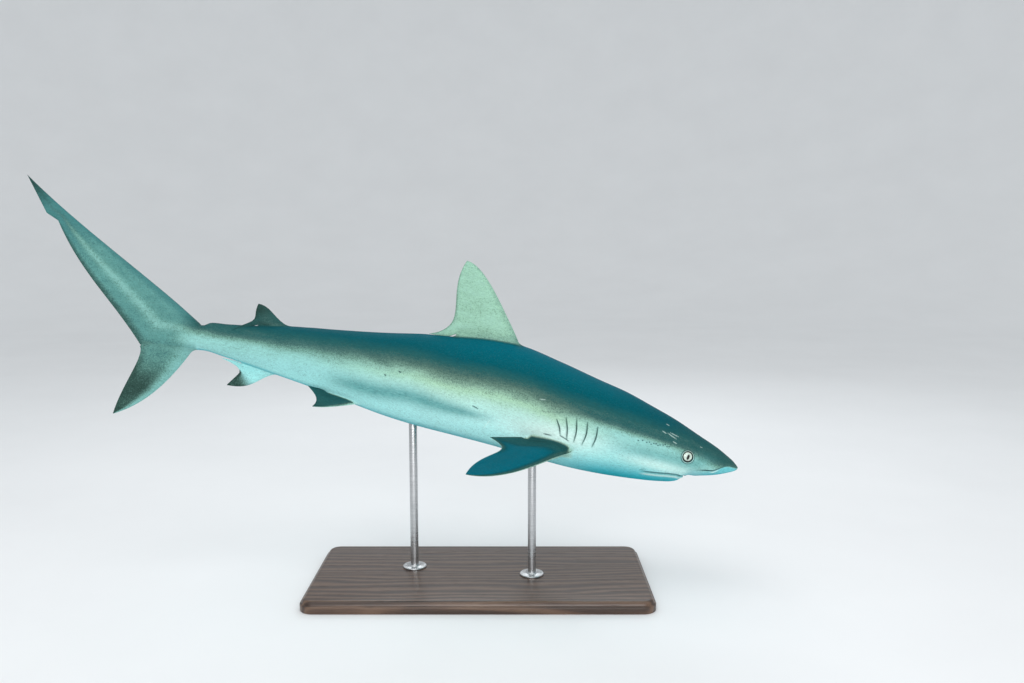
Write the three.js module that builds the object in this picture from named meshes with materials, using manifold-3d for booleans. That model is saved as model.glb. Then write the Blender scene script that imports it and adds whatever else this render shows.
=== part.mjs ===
// A Caribbean reef shark at life size, held over a flat base by two rods. Millimetres, +Z up.
//
// The shark is first laid out straight, in per cent of its total length: s runs back from the snout,
// y to the shark's left and z up. bend() then carries each point onto the curved line of the body,
// which heads along +X, so the shark's right side faces -Y.

import * as THREE from "three";
import { mergeVertices } from "three/addons/utils/BufferGeometryUtils.js";
import Module from "manifold-3d";

const wasm = await Module();
wasm.setup();

// ---------------------------------------------------------------- driving dimensions

const TOTAL_LENGTH = 2000; // snout to tail tip, the tail laid back in line with the body
const UNIT = TOTAL_LENGTH / 100; // one per cent of total length, in mm
const GAP = 0.35; // clearance between neighbouring pieces, mm
const GROW = GAP / UNIT; // the same clearance in per cent of total length

// Tables of [station s, value] that smooth() runs a curve through.
const YAW = [[0, 4], [25, 11], [50, 6], [75, -8], [100, -21]]; // degrees, towards the shark's right
const BACK = [
  [0, 0.1], [1.1, 0.6], [2.6, 1.25], [6, 2.35], [9.4, 3.42], [12.6, 4.2], [16, 5.0], [20, 5.6],
  [25.4, 6.52], [31, 7.28], [35, 7.05], [39.5, 6.32], [43, 5.8], [49, 4.72], [56, 3.82], [62, 3.3],
  [66, 2.75], [70, 2.42], [72.4, 2.3], [73.4, 1.97],
];
const BELLY = [
  [0, -0.6], [2.7, -1.78], [5.8, -2.95], [6.9, -3.85], [8.9, -4.75], [12.8, -5.6], [16, -6.1],
  [20, -6.5], [25, -6.62], [31, -6.52], [37.5, -6.55], [42.5, -6.5], [47.3, -6.13], [51, -5.58],
  [58, -4.27], [63.2, -3.33], [70, -1.95], [72.6, -1.45], [73.4, -1.47],
];
const HALF_WIDTH = [
  [0, 1.5], [1, 2.1], [2, 2.65], [3.3, 3.1], [5, 3.55], [7, 4.0], [12, 4.78], [16, 5.2], [21, 5.55],
  [27, 5.7], [33, 5.65], [40, 5.3], [47, 4.65], [55, 3.65], [63, 2.55], [70, 1.75], [73.6, 1.45],
];
const WIDEST_LEVEL = [
  [0, -0.3], [3, -0.6], [7, -0.6], [12, -0.9], [20, -1.0], [31, -0.6], [50, -0.5], [63, -0.1],
  [73.6, 0.2],
];
// Power of the section's curve, 2 being an ellipse and more than 2 a squarer section.
const BACK_FULLNESS = [[0, 2], [50, 2], [66, 2.5], [73.6, 2.3]];
const BELLY_FULLNESS = [[0, 2.3], [5, 2.2], [9, 2], [30, 2.1], [73.6, 2.2]];

const NOSE_RADIUS = 0.9; // length over which the snout's tip rounds off
const PITCH = { at: 35, degrees: 12.5, perLength: 0.13, fixedFrom: 75 }; // nose down, easing to the tail

const HEAD_END = 14.5;
const GILLS_END = 24.6;
const SHOULDER_END = 44;
const TRUNK_END = 62;
const STALK_END = 73.4;

// The eye's radius, half depth and how far it stands proud are in mm, and it looks out to the side,
// turned forward and up by the given degrees.
const EYE = { s: 7.0, z: 0.05, radius: 15.5, depth: 11, proud: 1.6, forward: 11, up: 8 };
// The lower jaw: stations of its front, the mouth's corner and its back edge, and the levels it spans.
const JAW = { front: 6.1, corner: 11.8, back: 12.7, halfWidth: 4.15, power: 0.42, top: -2.95, below: -8 };
const GILL_SLITS = [
  // top of the slit, then its foot, each as [s, z]
  [[18.5, 0.76], [18.55, -2.05]],
  [[19.8, 1.05], [19.8, -2.1]],
  [[21.2, 1.05], [20.85, -2.05]],
  [[22.5, 0.9], [21.7, -1.95]],
  [[23.6, 0.4], [22.6, -1.5]],
];
const SLIT = { width: 1.4, depth: 7, bow: 0.25 }; // width and depth in mm
const NOSTRIL = [[3.5, -1.15], [2.55, -1.35]];

const FIN_EDGE = 0.5; // half the thickness along a fin's edges, mm
const TIP_CUT = 0.1; // share of the last strip that is cut off a fin's point, to leave a blunt end

// Fins: outline points in the fin's own plane, along the body and out from it. The leading edge runs
// from origin to apex, the inner margin from insertion to the free rear tip, and the trailing edge
// from there to the apex. `thick` is half the greatest thickness at the root, and `sunk` is how far
// the root runs on inward, as a step along the fin's outward axis.
const FIRST_DORSAL = {
  origin: [30.8, 7.0], leadingHandles: [[34.5, 11.8], [37.6, 16.45]], apex: [40.0, 16.5],
  insertion: [39.5, 6.1], freeTip: [43.1, 5.85], trailingHandles: [[37.5, 7.9], [42.1, 11.5]],
  thick: 0.62, sunk: 1.6,
};
const SECOND_DORSAL = {
  origin: [61.5, 3.3], leadingHandles: [[63.8, 3.5], [64.3, 5.6]], apex: [66.2, 5.75],
  insertion: [65.9, 2.75], freeTip: [68.9, 2.3], trailingHandles: [[65.2, 3.9], [66.9, 3.7]],
  thick: 0.32, sunk: 1.0, flopFrom: 65.9, flop: 0.45,
};
const ANAL = {
  origin: [62.6, -3.4], leadingHandles: [[65.4, -4.0], [65.3, -6.1]], apex: [69.2, -5.8],
  insertion: [67.6, -2.45], freeTip: [70.3, -2.2], trailingHandles: [[66.6, -3.5], [67.35, -3.45]],
  thick: 0.34, sunk: -1.0,
};
// The paired fins lie in planes hinged at `hinge`, rising by `rise` along the body, drooping outward.
const PECTORAL = {
  hinge: [21.0, 4.8, -3.6], rise: 0.1, droop: 8,
  origin: [0, 0], leadingHandles: [[2.5, 3.8], [4.45, 13.6]], apex: [9.6, 15.9],
  insertion: [5.8, 0.3], freeTip: [9.7, 4.3], trailingHandles: [[5.0, 5.8], [10.0, 8.7]],
  thick: 0.85, sunk: 2.0,
};
const PELVIC = {
  hinge: [50.0, 2.2, -4.9], rise: 0.15, droop: 38,
  origin: [0, 0], leadingHandles: [[2.2, 1.0], [4.4, 2.75]], apex: [6.1, 3.1],
  insertion: [4.7, -0.3], freeTip: [7.7, 0.1], trailingHandles: [[6.5, 0.95], [5.3, 1.6]],
  thick: 0.36, sunk: 1.4,
};
const TAIL = {
  origin: [73.42, 1.95], leadingHandles: [[79.4, 6.85], [89.0, 12.6]], tip: [95.9, 18.8],
  base: [73.42, -1.47], fork: [80.85, -1.55], forkShare: 0.15,
  hindHandles: [[84.9, 4.2], [88.8, 7.0]], notch: [91.95, 13.5], corner: [93.35, 14.3],
  thick: 1.45, lobeThick: 0.62, tipThick: 0.16,
};
const LOWER_LOBE = {
  origin: [74.0, -1.4], leadingHandles: [[76.0, -4.7], [78.7, -9.2]], apex: [83.5, -11.15],
  insertion: [80.7, -1.6], freeTip: [80.85, -1.75], trailingHandles: [[80.1, -3.0], [82.7, -7.1]],
  thick: 0.55, sunk: -0.9,
};

const BALANCE = { s: 38, x: -60, y: 18, height: 540 }; // station held over the base, and its height in mm
const BASE = { length: 900, width: 420, height: 30, corner: 36, bevel: 3 };
const RODS = [["front", 26], ["rear", 43]];
const ROD = { radius: 11, sunk: 22, flangeRadius: 32, flangeHeight: 9 };

// ---------------------------------------------------------------- helpers for curves

const radians = THREE.MathUtils.degToRad;

// Returns a function that runs a smooth curve through a table of [x, value].
function smooth(table) {
  const last = table.length - 1;
  const rate = (i) => (table[i + 1][1] - table[i][1]) / (table[i + 1][0] - table[i][0]);
  const slope = (i) => {
    if (i === 0) return rate(0);
    if (i === last) return rate(last - 1);
    const before = table[i][0] - table[i - 1][0];
    const after = table[i + 1][0] - table[i][0];
    return (rate(i - 1) * after + rate(i) * before) / (before + after);
  };
  return (x) => {
    const at = THREE.MathUtils.clamp(x, table[0][0], table[last][0]);
    let i = 0;
    while (i < last - 1 && at >= table[i + 1][0]) i += 1;
    const step = table[i + 1][0] - table[i][0];
    const w = (at - table[i][0]) / step;
    const rest = 1 - w;
    return (1 + 2 * w) * rest * rest * table[i][1] + w * rest * rest * step * slope(i)
      + w * w * (3 - 2 * w) * table[i + 1][1] - w * w * rest * step * slope(i + 1);
  };
}

const back = smooth(BACK);
const belly = smooth(BELLY);
const halfWidth = smooth(HALF_WIDTH);
const widestLevel = smooth(WIDEST_LEVEL);
const backFullness = smooth(BACK_FULLNESS);
const bellyFullness = smooth(BELLY_FULLNESS);
const yawAt = smooth(YAW);

// ---------------------------------------------------------------- the curved line of the body

const SPINE_STEPS = 400;
const TAIL_TIP = 100;

// Forward, left and up at a station.
function directions(s) {
  const yaw = radians(yawAt(s));
  const pitch = radians(PITCH.degrees - PITCH.perLength * (Math.min(s, PITCH.fixedFrom) - PITCH.at));
  const forward = new THREE.Vector3(
    Math.cos(pitch) * Math.cos(yaw), -Math.cos(pitch) * Math.sin(yaw), -Math.sin(pitch));
  const up = new THREE.Vector3(
    Math.sin(pitch) * Math.cos(yaw), -Math.sin(pitch) * Math.sin(yaw), Math.cos(pitch));
  return { forward, up, left: new THREE.Vector3().crossVectors(up, forward) };
}

// The line itself, stepped back from the snout and then moved so that BALANCE.s is in its place.
const spine = [new THREE.Vector3()];
for (let i = 1; i <= SPINE_STEPS; i += 1) {
  const step = TAIL_TIP / SPINE_STEPS;
  const middle = directions((i - 0.5) * step).forward;
  spine.push(spine[i - 1].clone().addScaledVector(middle, -step * UNIT));
}
const spineAt = (s) => {
  const place = THREE.MathUtils.clamp(s / TAIL_TIP, 0, 1) * SPINE_STEPS;
  const i = Math.min(Math.floor(place), SPINE_STEPS - 1);
  return spine[i].clone().lerp(spine[i + 1], place - i);
};
const shift = new THREE.Vector3(BALANCE.x, BALANCE.y, BALANCE.height).sub(spineAt(BALANCE.s));

// Carries a point of the straight shark into its place.
function bend([s, y, z]) {
  const { left, up } = directions(s);
  return spineAt(s).add(shift).addScaledVector(left, y * UNIT).addScaledVector(up, z * UNIT);
}

// ---------------------------------------------------------------- helpers for solids

function toSolid(positions, triangles) {
  return new wasm.Manifold(new wasm.Mesh({
    numProp: 3,
    vertProperties: new Float32Array(positions.flatMap((p) => [p.x, p.y, p.z])),
    triVerts: new Uint32Array(triangles),
  }));
}

function geometrySolid(geometry) {
  const bare = geometry.clone();
  bare.deleteAttribute("normal");
  bare.deleteAttribute("uv");
  const merged = mergeVertices(bare, 1e-3);
  return new wasm.Manifold(new wasm.Mesh({
    numProp: 3,
    vertProperties: merged.attributes.position.array,
    triVerts: new Uint32Array(merged.index.array),
  }));
}

// A closed solid through rings of points, all with the same count, capped from each end's middle.
function loft(rings) {
  const count = rings[0].length;
  const positions = rings.flat();
  const triangles = [];
  for (let r = 0; r < rings.length - 1; r += 1) {
    for (let k = 0; k < count; k += 1) {
      const a = r * count + k;
      const b = r * count + ((k + 1) % count);
      triangles.push(a, b, b + count, a, b + count, a + count);
    }
  }
  [[0, true], [rings.length - 1, false]].forEach(([r, first]) => {
    const middle = rings[r].reduce((sum, p) => sum.add(p), new THREE.Vector3()).divideScalar(count);
    const hub = positions.push(middle) - 1;
    for (let k = 0; k < count; k += 1) {
      const a = r * count + k;
      const b = r * count + ((k + 1) % count);
      triangles.push(hub, first ? b : a, first ? a : b);
    }
  });
  const made = toSolid(positions, triangles);
  if (made.volume() > 0) return made;
  for (let i = 0; i < triangles.length; i += 3) {
    [triangles[i + 1], triangles[i + 2]] = [triangles[i + 2], triangles[i + 1]];
  }
  return toSolid(positions, triangles);
}

const largest = (solid) => solid.decompose().sort((a, b) => b.volume() - a.volume())[0];

const MATERIALS = {
  back: { color: 0x3c5a5e, roughness: 0.55, metalness: 0 },
  fin: { color: 0x7d8f86, roughness: 0.55, metalness: 0 },
  jaw: { color: 0xd4dfda, roughness: 0.5, metalness: 0 },
  eye: { color: 0xc9d2c4, roughness: 0.12, metalness: 0 },
  wood: { color: 0x2c2723, roughness: 0.5, metalness: 0 },
  steel: { color: 0xb4b6b8, roughness: 0.32, metalness: 1 },
};

function named(name, solid, material) {
  const mesh = solid.getMesh();
  const geometry = new THREE.BufferGeometry();
  geometry.setAttribute("position", new THREE.BufferAttribute(mesh.vertProperties, 3));
  geometry.setIndex(new THREE.BufferAttribute(mesh.triVerts, 1));
  geometry.computeVertexNormals();
  const node = new THREE.Mesh(geometry, new THREE.MeshStandardMaterial(MATERIALS[material]));
  node.name = name;
  return node;
}

// ---------------------------------------------------------------- the trunk

const AROUND = 28; // points in one ring
const STEP = 2.2; // spacing of the rings along the body
const signedPower = (v, power) => Math.sign(v) * Math.abs(v) ** power;

// Rounds off the snout: 0 at its tip and 1 from NOSE_RADIUS back.
const noseRound = (s) => (s >= NOSE_RADIUS ? 1 : Math.sqrt((s / NOSE_RADIUS) * (2 - s / NOSE_RADIUS)));

// One ring of the trunk, `grow` fuller all round.
function trunkRing(s, grow = 0) {
  const round = noseRound(s);
  const level = widestLevel(s);
  const rise = (back(s) - level) * round + grow;
  const drop = (level - belly(s)) * round + grow;
  const wide = halfWidth(s) * round + grow;
  return Array.from({ length: AROUND }, (_, k) => {
    const angle = (2 * Math.PI * k) / AROUND;
    const upper = Math.sin(angle) >= 0;
    const power = 2 / (upper ? backFullness(s) : bellyFullness(s));
    const y = -wide * signedPower(Math.cos(angle), power);
    const z = level + (upper ? rise : drop) * signedPower(Math.sin(angle), power);
    return bend([s, y, z]);
  });
}

// The half-width of the trunk at a level z of one station.
function flank(s, z) {
  const level = widestLevel(s);
  const upper = z >= level;
  const power = upper ? backFullness(s) : bellyFullness(s);
  const height = upper ? back(s) - level : level - belly(s);
  return halfWidth(s) * (1 - Math.min(Math.abs(z - level) / height, 1) ** power) ** (1 / power);
}

// Stations of the rings, shared by every length of the trunk so that their faces line up.
const JOINTS = [HEAD_END, GILLS_END, SHOULDER_END, TRUNK_END, STALK_END];
const SNOUT_STATIONS = [0.03, 0.15, 0.4, 0.8, 1.4, 2.2, 3.2, 4.4];
const STATIONS = [...SNOUT_STATIONS];
JOINTS.forEach((joint) => {
  const start = STATIONS.at(-1);
  const steps = Math.ceil((joint - start) / STEP);
  for (let i = 1; i <= steps; i += 1) STATIONS.push(start + ((joint - start) * i) / steps);
});

// A length of the trunk. Each cut end is drawn in by half the gap.
function trunk(from, to, grow = 0) {
  const inset = GROW / 2;
  const within = STATIONS.filter((s) => s > from + inset && s < to - inset);
  const stations = from === 0 ? [...within, to - inset] : [from + inset, ...within, to - inset];
  return loft(stations.map((s) => trunkRing(s, grow)));
}

// ---------------------------------------------------------------- fins

const CHORD_STEPS = 6;
const INNER_ROWS = 3;
const OUTER_ROWS = 7;
const INNER_SHARE = 0.1; // share of the leading edge that the inner margin's rows cover
const ROOT_SETBACK = 0.15; // how far the hidden root starts behind the leading edge
const FOIL_PEAK = 0.3; // thickest place of a fin's section, from its leading edge

const point2 = ([x, y]) => new THREE.Vector2(x, y);
const bezier = (from, handles, to) => new THREE.CubicBezierCurve(
  point2(from), point2(handles[0]), point2(handles[1]), point2(to));
const line = (from, to) => new THREE.LineCurve(point2(from), point2(to));

function foil(u) {
  if (u < FOIL_PEAK) return Math.sqrt(1 - (1 - u / FOIL_PEAK) ** 2);
  return 0.5 + 0.5 * Math.cos((Math.PI * (u - FOIL_PEAK)) / (1 - FOIL_PEAK));
}

// Pairs of points across a fin, leading edge and trailing edge, from its root to its tip.
function rungs(leading, inner, innerShare, outer) {
  const pairs = [];
  for (let i = 0; i <= INNER_ROWS; i += 1) {
    pairs.push([leading.getPointAt((innerShare * i) / INNER_ROWS), inner.getPointAt(i / INNER_ROWS)]);
  }
  const total = outer.reduce((sum, piece) => sum + piece.curve.getLength(), 0);
  let done = 0;
  outer.forEach(({ curve, rows }) => {
    const share = curve.getLength() / total;
    for (let i = 1; i <= rows; i += 1) {
      const v = Math.min(done + (share * i) / rows, 1);
      pairs.push([leading.getPointAt(innerShare + (1 - innerShare) * v), curve.getPointAt(i / rows)]);
    }
    done += share;
  });
  return pairs;
}

// A fin's solid. `place` takes a point along, out and sideways of the fin's plane to the straight body.
function finSolid(fin, place) {
  const leading = bezier(fin.origin, fin.leadingHandles, fin.apex);
  const trailing = bezier(fin.freeTip, fin.trailingHandles, fin.apex);
  const pairs = rungs(leading, line(fin.insertion, fin.freeTip), INNER_SHARE,
    [{ curve: trailing, rows: OUTER_ROWS }]);
  pairs.push(pairs.pop().map((end, i) => end.clone().lerp(pairs.at(-1)[i], TIP_CUT)));
  const [lead, trail] = pairs[0];
  const sink = new THREE.Vector2(0, -fin.sunk);
  const root = [lead.clone().add(sink), trail.clone().add(sink)];
  root[0].lerp(root[1], ROOT_SETBACK);
  const rows = [root, ...pairs];
  return loft(rows.map(([a, b], row) => {
    const v = Math.max(row - 1, 0) / (rows.length - 2);
    const half = (side) => Array.from({ length: CHORD_STEPS + 1 }, (_, j) => {
      const u = 0.5 - 0.5 * Math.cos((Math.PI * j) / CHORD_STEPS);
      const across = a.clone().lerp(b, u);
      const thick = FIN_EDGE / UNIT + fin.thick * (1 - v) ** 0.8 * foil(u);
      return bend(place(across.x, across.y, side * thick));
    });
    return [...half(1), ...half(-1).reverse()];
  }));
}

const medianPlace = (along, out, sideways) => [along, sideways, out];

// The second dorsal fin's rear tip lies over to the right side of the stalk.
const floppedPlace = (along, out, sideways) => [
  along, sideways - SECOND_DORSAL.flop * Math.max(along - SECOND_DORSAL.flopFrom, 0), out,
];

// Places a paired fin; side is 1 on the shark's left and -1 on its right.
function pairedPlace({ hinge, rise, droop }, side) {
  const cos = Math.cos(radians(droop));
  const sin = Math.sin(radians(droop));
  return (along, out, sideways) => [
    hinge[0] + along,
    side * (hinge[1] + out * cos + sideways * sin),
    hinge[2] + rise * along - out * sin + sideways * cos,
  ];
}

// ---------------------------------------------------------------- the tail fin

// The upper lobe goes on from the trunk: its rings turn with the rungs and flatten into a fin.
function upperLobe(grow = 0) {
  const hind = bezier(TAIL.fork, TAIL.hindHandles, TAIL.notch);
  const pairs = rungs(bezier(TAIL.origin, TAIL.leadingHandles, TAIL.tip), line(TAIL.base, TAIL.fork),
    TAIL.forkShare, [
      { curve: hind, rows: 6 },
      { curve: line(TAIL.notch, TAIL.corner), rows: 1 },
      { curve: line(TAIL.corner, TAIL.tip), rows: 3 },
    ]);
  pairs.push(pairs.pop().map((end, i) => end.clone().lerp(pairs.at(-1)[i], TIP_CUT)));
  const last = pairs.length - 1;
  return loft(pairs.map(([lead, trail], row) => {
    const v = row / last;
    const flat = THREE.MathUtils.smoothstep(row, 0, INNER_ROWS);
    const thick = row <= INNER_ROWS
      ? THREE.MathUtils.lerp(TAIL.thick, TAIL.lobeThick, flat)
      : THREE.MathUtils.lerp(TAIL.lobeThick, TAIL.tipThick, (row - INNER_ROWS) / (last - INNER_ROWS));
    const reach = grow / Math.max(lead.distanceTo(trail), 1);
    return Array.from({ length: AROUND }, (_, k) => {
      const angle = (2 * Math.PI * k) / AROUND;
      const u = 0.5 - Math.sin(angle) / 2;
      const across = lead.clone().lerp(trail, u + (u - 0.5) * 2 * reach);
      const oval = Math.abs(Math.cos(angle));
      const shape = THREE.MathUtils.lerp(oval, foil(u) * 0.9 + 0.1 * oval, flat);
      const side = -Math.sign(Math.round(Math.cos(angle) * 1e6));
      const edge = (FIN_EDGE / UNIT) * Math.min(1, 4 * v);
      return bend([across.x, side * (edge + thick * shape + grow), across.y]);
    });
  }));
}

// ---------------------------------------------------------------- head details

// An upright prism with a parabolic front, which cuts the lower jaw out along the mouth line.
function jawBlock(grow) {
  const outline = [];
  const sideSteps = 8;
  for (let i = -sideSteps; i <= sideSteps; i += 1) {
    const share = Math.abs(i) / sideSteps;
    const run = share ** (1 / JAW.power);
    outline.push([
      JAW.front - grow + (JAW.corner - JAW.front) * run,
      Math.sign(i) * (share * JAW.halfWidth + grow),
    ]);
  }
  outline.push([JAW.back + grow, JAW.halfWidth + grow]);
  outline.push([JAW.back + grow, -JAW.halfWidth - grow]);
  return loft([JAW.below, JAW.top + grow].map((z) => outline.map(([s, y]) => bend([s, y, z]))));
}

// A flattened ball, turned to look outward; side is 1 on the left and -1 on the right.
function eyeBall(side, grow) {
  const inset = (EYE.depth - EYE.proud) / UNIT;
  const centre = bend([EYE.s, side * (flank(EYE.s, EYE.z) - inset), EYE.z]);
  const { forward, left, up } = directions(EYE.s);
  const look = left.clone().multiplyScalar(side)
    .addScaledVector(forward, Math.tan(radians(EYE.forward)))
    .addScaledVector(up, Math.tan(radians(EYE.up))).normalize();
  const ball = new THREE.SphereGeometry(1, 16, 9)
    .rotateX(Math.PI / 2)
    .scale(EYE.radius + grow, EYE.radius + grow, EYE.depth + grow)
    .applyQuaternion(new THREE.Quaternion().setFromUnitVectors(new THREE.Vector3(0, 0, 1), look))
    .translate(centre.x, centre.y, centre.z);
  return geometrySolid(ball);
}

// A thin bowed blade that cuts a slit into the skin from [s, z] to [s, z].
function slitBlade([top, foot], side) {
  const steps = 4;
  const half = SLIT.width / 2 / UNIT;
  const deep = SLIT.depth / UNIT;
  const proud = 0.2;
  return loft(Array.from({ length: steps + 1 }, (_, i) => {
    const w = i / steps;
    const s = THREE.MathUtils.lerp(top[0], foot[0], w) - SLIT.bow * Math.sin(Math.PI * w);
    const z = THREE.MathUtils.lerp(top[1], foot[1], w);
    const skin = flank(s, z);
    const taper = 0.35 + 0.65 * Math.sin(Math.PI * w);
    const corners = [
      [s - half * taper, skin + proud], [s + half * taper, skin + proud],
      [s + half * taper, skin - deep * taper], [s - half * taper, skin - deep * taper],
    ];
    return corners.map(([at, y]) => bend([at, side * y, z]));
  }));
}

// ---------------------------------------------------------------- the shark

const SIDES = [["left", 1], ["right", -1]];
const trunkGrown = trunk(0, STALK_END, GROW);
const tailGrown = upperLobe(GROW);

function buildShark() {
  const shark = new THREE.Group();
  const slits = (pairsOfEnds) => SIDES.flatMap(([, side]) => pairsOfEnds.map((ends) => slitBlade(ends, side)));

  const wholeHead = trunk(0, HEAD_END);
  let head = wholeHead.subtract(jawBlock(GROW));
  SIDES.forEach(([, side]) => { head = head.subtract(eyeBall(side, GAP)); });
  slits([NOSTRIL]).forEach((blade) => { head = head.subtract(blade); });
  shark.add(named("head", largest(head), "back"));
  shark.add(named("lower_jaw", largest(wholeHead.intersect(jawBlock(0))), "jaw"));
  SIDES.forEach(([name, side]) => shark.add(named(`eye_${name}`, eyeBall(side, 0), "eye")));

  let gills = trunk(HEAD_END, GILLS_END);
  slits(GILL_SLITS).forEach((blade) => { gills = gills.subtract(blade); });
  shark.add(named("gill_region", largest(gills), "back"));
  shark.add(named("trunk_front", trunk(GILLS_END, SHOULDER_END), "back"));
  shark.add(named("trunk_rear", trunk(SHOULDER_END, TRUNK_END), "back"));
  shark.add(named("tail_stalk", trunk(TRUNK_END, STALK_END), "back"));

  const rooted = (name, solid, carrier) => shark.add(named(name, largest(solid.subtract(carrier)), "fin"));
  rooted("dorsal_fin_first", finSolid(FIRST_DORSAL, medianPlace), trunkGrown);
  rooted("dorsal_fin_second", finSolid(SECOND_DORSAL, floppedPlace), trunkGrown);
  rooted("anal_fin", finSolid(ANAL, medianPlace), trunkGrown);
  SIDES.forEach(([name, side]) => {
    rooted(`pectoral_fin_${name}`, finSolid(PECTORAL, pairedPlace(PECTORAL, side)), trunkGrown);
    rooted(`pelvic_fin_${name}`, finSolid(PELVIC, pairedPlace(PELVIC, side)), trunkGrown);
  });
  shark.add(named("caudal_fin_upper", upperLobe(), "fin"));
  rooted("caudal_fin_lower", finSolid(LOWER_LOBE, medianPlace).subtract(trunkGrown), tailGrown);
  return shark;
}

// ---------------------------------------------------------------- the display stand

function baseSolid() {
  const { length, width, height, corner, bevel } = BASE;
  const x = length / 2 - bevel;
  const y = width / 2 - bevel;
  const outline = new THREE.Shape()
    .moveTo(-x + corner, -y)
    .lineTo(x - corner, -y)
    .absarc(x - corner, -y + corner, corner, -Math.PI / 2, 0)
    .lineTo(x, y - corner)
    .absarc(x - corner, y - corner, corner, 0, Math.PI / 2)
    .lineTo(-x + corner, y)
    .absarc(-x + corner, y - corner, corner, Math.PI / 2, Math.PI)
    .lineTo(-x, -y + corner)
    .absarc(-x + corner, -y + corner, corner, Math.PI, 1.5 * Math.PI);
  const plate = new THREE.ExtrudeGeometry(outline, {
    depth: height - 2 * bevel, bevelThickness: bevel, bevelSize: bevel, bevelSegments: 1, curveSegments: 4,
  });
  return geometrySolid(plate.translate(0, 0, bevel));
}

function buildStand() {
  const stand = new THREE.Group();
  stand.add(named("stand_base", baseSolid(), "wood"));
  RODS.forEach(([name, s]) => {
    const foot = bend([s, 0, belly(s)]);
    const from = BASE.height + GAP;
    const length = foot.z + ROD.sunk - from;
    const rod = new THREE.CylinderGeometry(ROD.radius, ROD.radius, length, 20)
      .rotateX(Math.PI / 2).translate(foot.x, foot.y, from + length / 2);
    stand.add(named(`stand_rod_${name}`, largest(geometrySolid(rod).subtract(trunkGrown)), "steel"));
    const { flangeRadius: wide, flangeHeight: high, radius } = ROD;
    const profile = [
      [radius + GAP, 0], [wide, 0], [wide, high * 0.5], [wide - 4, high], [radius + GAP, high],
      [radius + GAP, 0],
    ].map(([r, z]) => new THREE.Vector2(r, z));
    const flange = new THREE.LatheGeometry(profile, 24).rotateX(Math.PI / 2)
      .translate(foot.x, foot.y, BASE.height + GAP);
    stand.add(named(`stand_flange_${name}`, geometrySolid(flange), "steel"));
  });
  return stand;
}

const model = new THREE.Group();
model.add(buildShark(), buildStand());

export default model;
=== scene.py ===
# %% [markdown]
# # A reef shark on a display stand
# A museum model of a shark is one smooth cast skin with glass eyes set into it. Here the plain solids
# of the CAD model give the place and the size of everything, and this lesson builds the surfaces that
# are seen: the skin, the eyes, the stand, the floor and the light.

# %% Load the frame
import math
import bpy
import numpy as np
from mathutils import Matrix, Vector


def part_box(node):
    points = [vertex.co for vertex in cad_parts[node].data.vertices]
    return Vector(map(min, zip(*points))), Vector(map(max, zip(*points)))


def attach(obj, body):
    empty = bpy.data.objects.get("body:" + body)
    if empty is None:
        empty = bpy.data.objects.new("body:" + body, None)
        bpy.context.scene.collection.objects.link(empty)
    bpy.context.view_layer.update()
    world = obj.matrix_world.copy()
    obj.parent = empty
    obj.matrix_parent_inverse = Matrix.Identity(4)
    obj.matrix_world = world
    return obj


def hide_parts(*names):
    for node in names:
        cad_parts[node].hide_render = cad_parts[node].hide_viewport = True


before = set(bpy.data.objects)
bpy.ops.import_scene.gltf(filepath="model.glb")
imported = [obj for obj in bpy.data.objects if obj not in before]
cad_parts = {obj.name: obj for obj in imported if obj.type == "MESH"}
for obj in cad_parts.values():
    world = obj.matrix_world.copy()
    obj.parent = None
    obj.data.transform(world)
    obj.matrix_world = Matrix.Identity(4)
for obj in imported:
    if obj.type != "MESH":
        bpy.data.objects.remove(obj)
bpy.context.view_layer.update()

# %% [markdown]
# ## Where the shark is held
# The shark is drawn straight first, in per cent of its length: `s` runs back from the snout, `y` to
# its left and `z` up. One station of the body is held at a fixed place over the base, and the body's
# line is stepped out from there. The camera is placed from the same point, so that both move together.

# %% The place of the body and the camera
UNIT = 0.02  # metres in one per cent of the shark's length
HELD_STATION = 38
HELD_AT = np.array([-0.060, 0.018, 0.540])

CAMERA_FROM_HELD = Vector((0.1459, -2.3699, 0.4087))
CAMERA_TILT = 7  # degrees below level
CAMERA_LENS = 31.64  # mm, on a sensor 36 mm wide

camera_data = bpy.data.cameras.new("camera")
camera_data.lens = CAMERA_LENS
camera_data.sensor_width = 36
camera_data.clip_end = 100
camera = bpy.data.objects.new("camera", camera_data)
camera.location = Vector(HELD_AT) + CAMERA_FROM_HELD
camera.rotation_euler = (math.radians(90 - CAMERA_TILT), 0, 0)
bpy.context.scene.collection.objects.link(camera)
bpy.context.scene.camera = camera
print("camera at", [round(v, 3) for v in camera.location])

# %% [markdown]
# ## Curves through tables
# A boat builder draws a hull from a table of offsets and a bent batten. `smooth` is the batten: it
# runs a soft curve through a short table of stations and values. Modifiers could round a coarse cage
# instead, but a batten passes exactly through the sizes that matter.

# %% The batten, and the shark's bent line
YAW = [[0, 4], [25, 11], [50, 6], [75, -8], [100, -21]]  # degrees, towards the shark's right
PITCH = {"at": 35, "degrees": 12.5, "per_length": 0.13, "fixed_from": 75}  # nose down, easing to the tail
NOTHING = 1e-12  # keeps a length of nothing from being divided by


def smooth(table):
    x, y = np.array(table, float).T
    step = np.diff(x)
    rate = np.diff(y) / step
    inner = (rate[:-1] * step[1:] + rate[1:] * step[:-1]) / (step[:-1] + step[1:])
    slope = np.concatenate([rate[:1], inner, rate[-1:]])

    def curve(at):
        at = np.clip(at, x[0], x[-1])
        i = np.clip(np.searchsorted(x, at, side="right") - 1, 0, len(step) - 1)
        w = (at - x[i]) / step[i]
        rest = 1 - w
        ends = (1 + 2 * w) * rest**2 * y[i] + w * w * (3 - 2 * w) * y[i + 1]
        return ends + w * rest * step[i] * (rest * slope[i] - w * slope[i + 1])

    return curve


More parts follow.
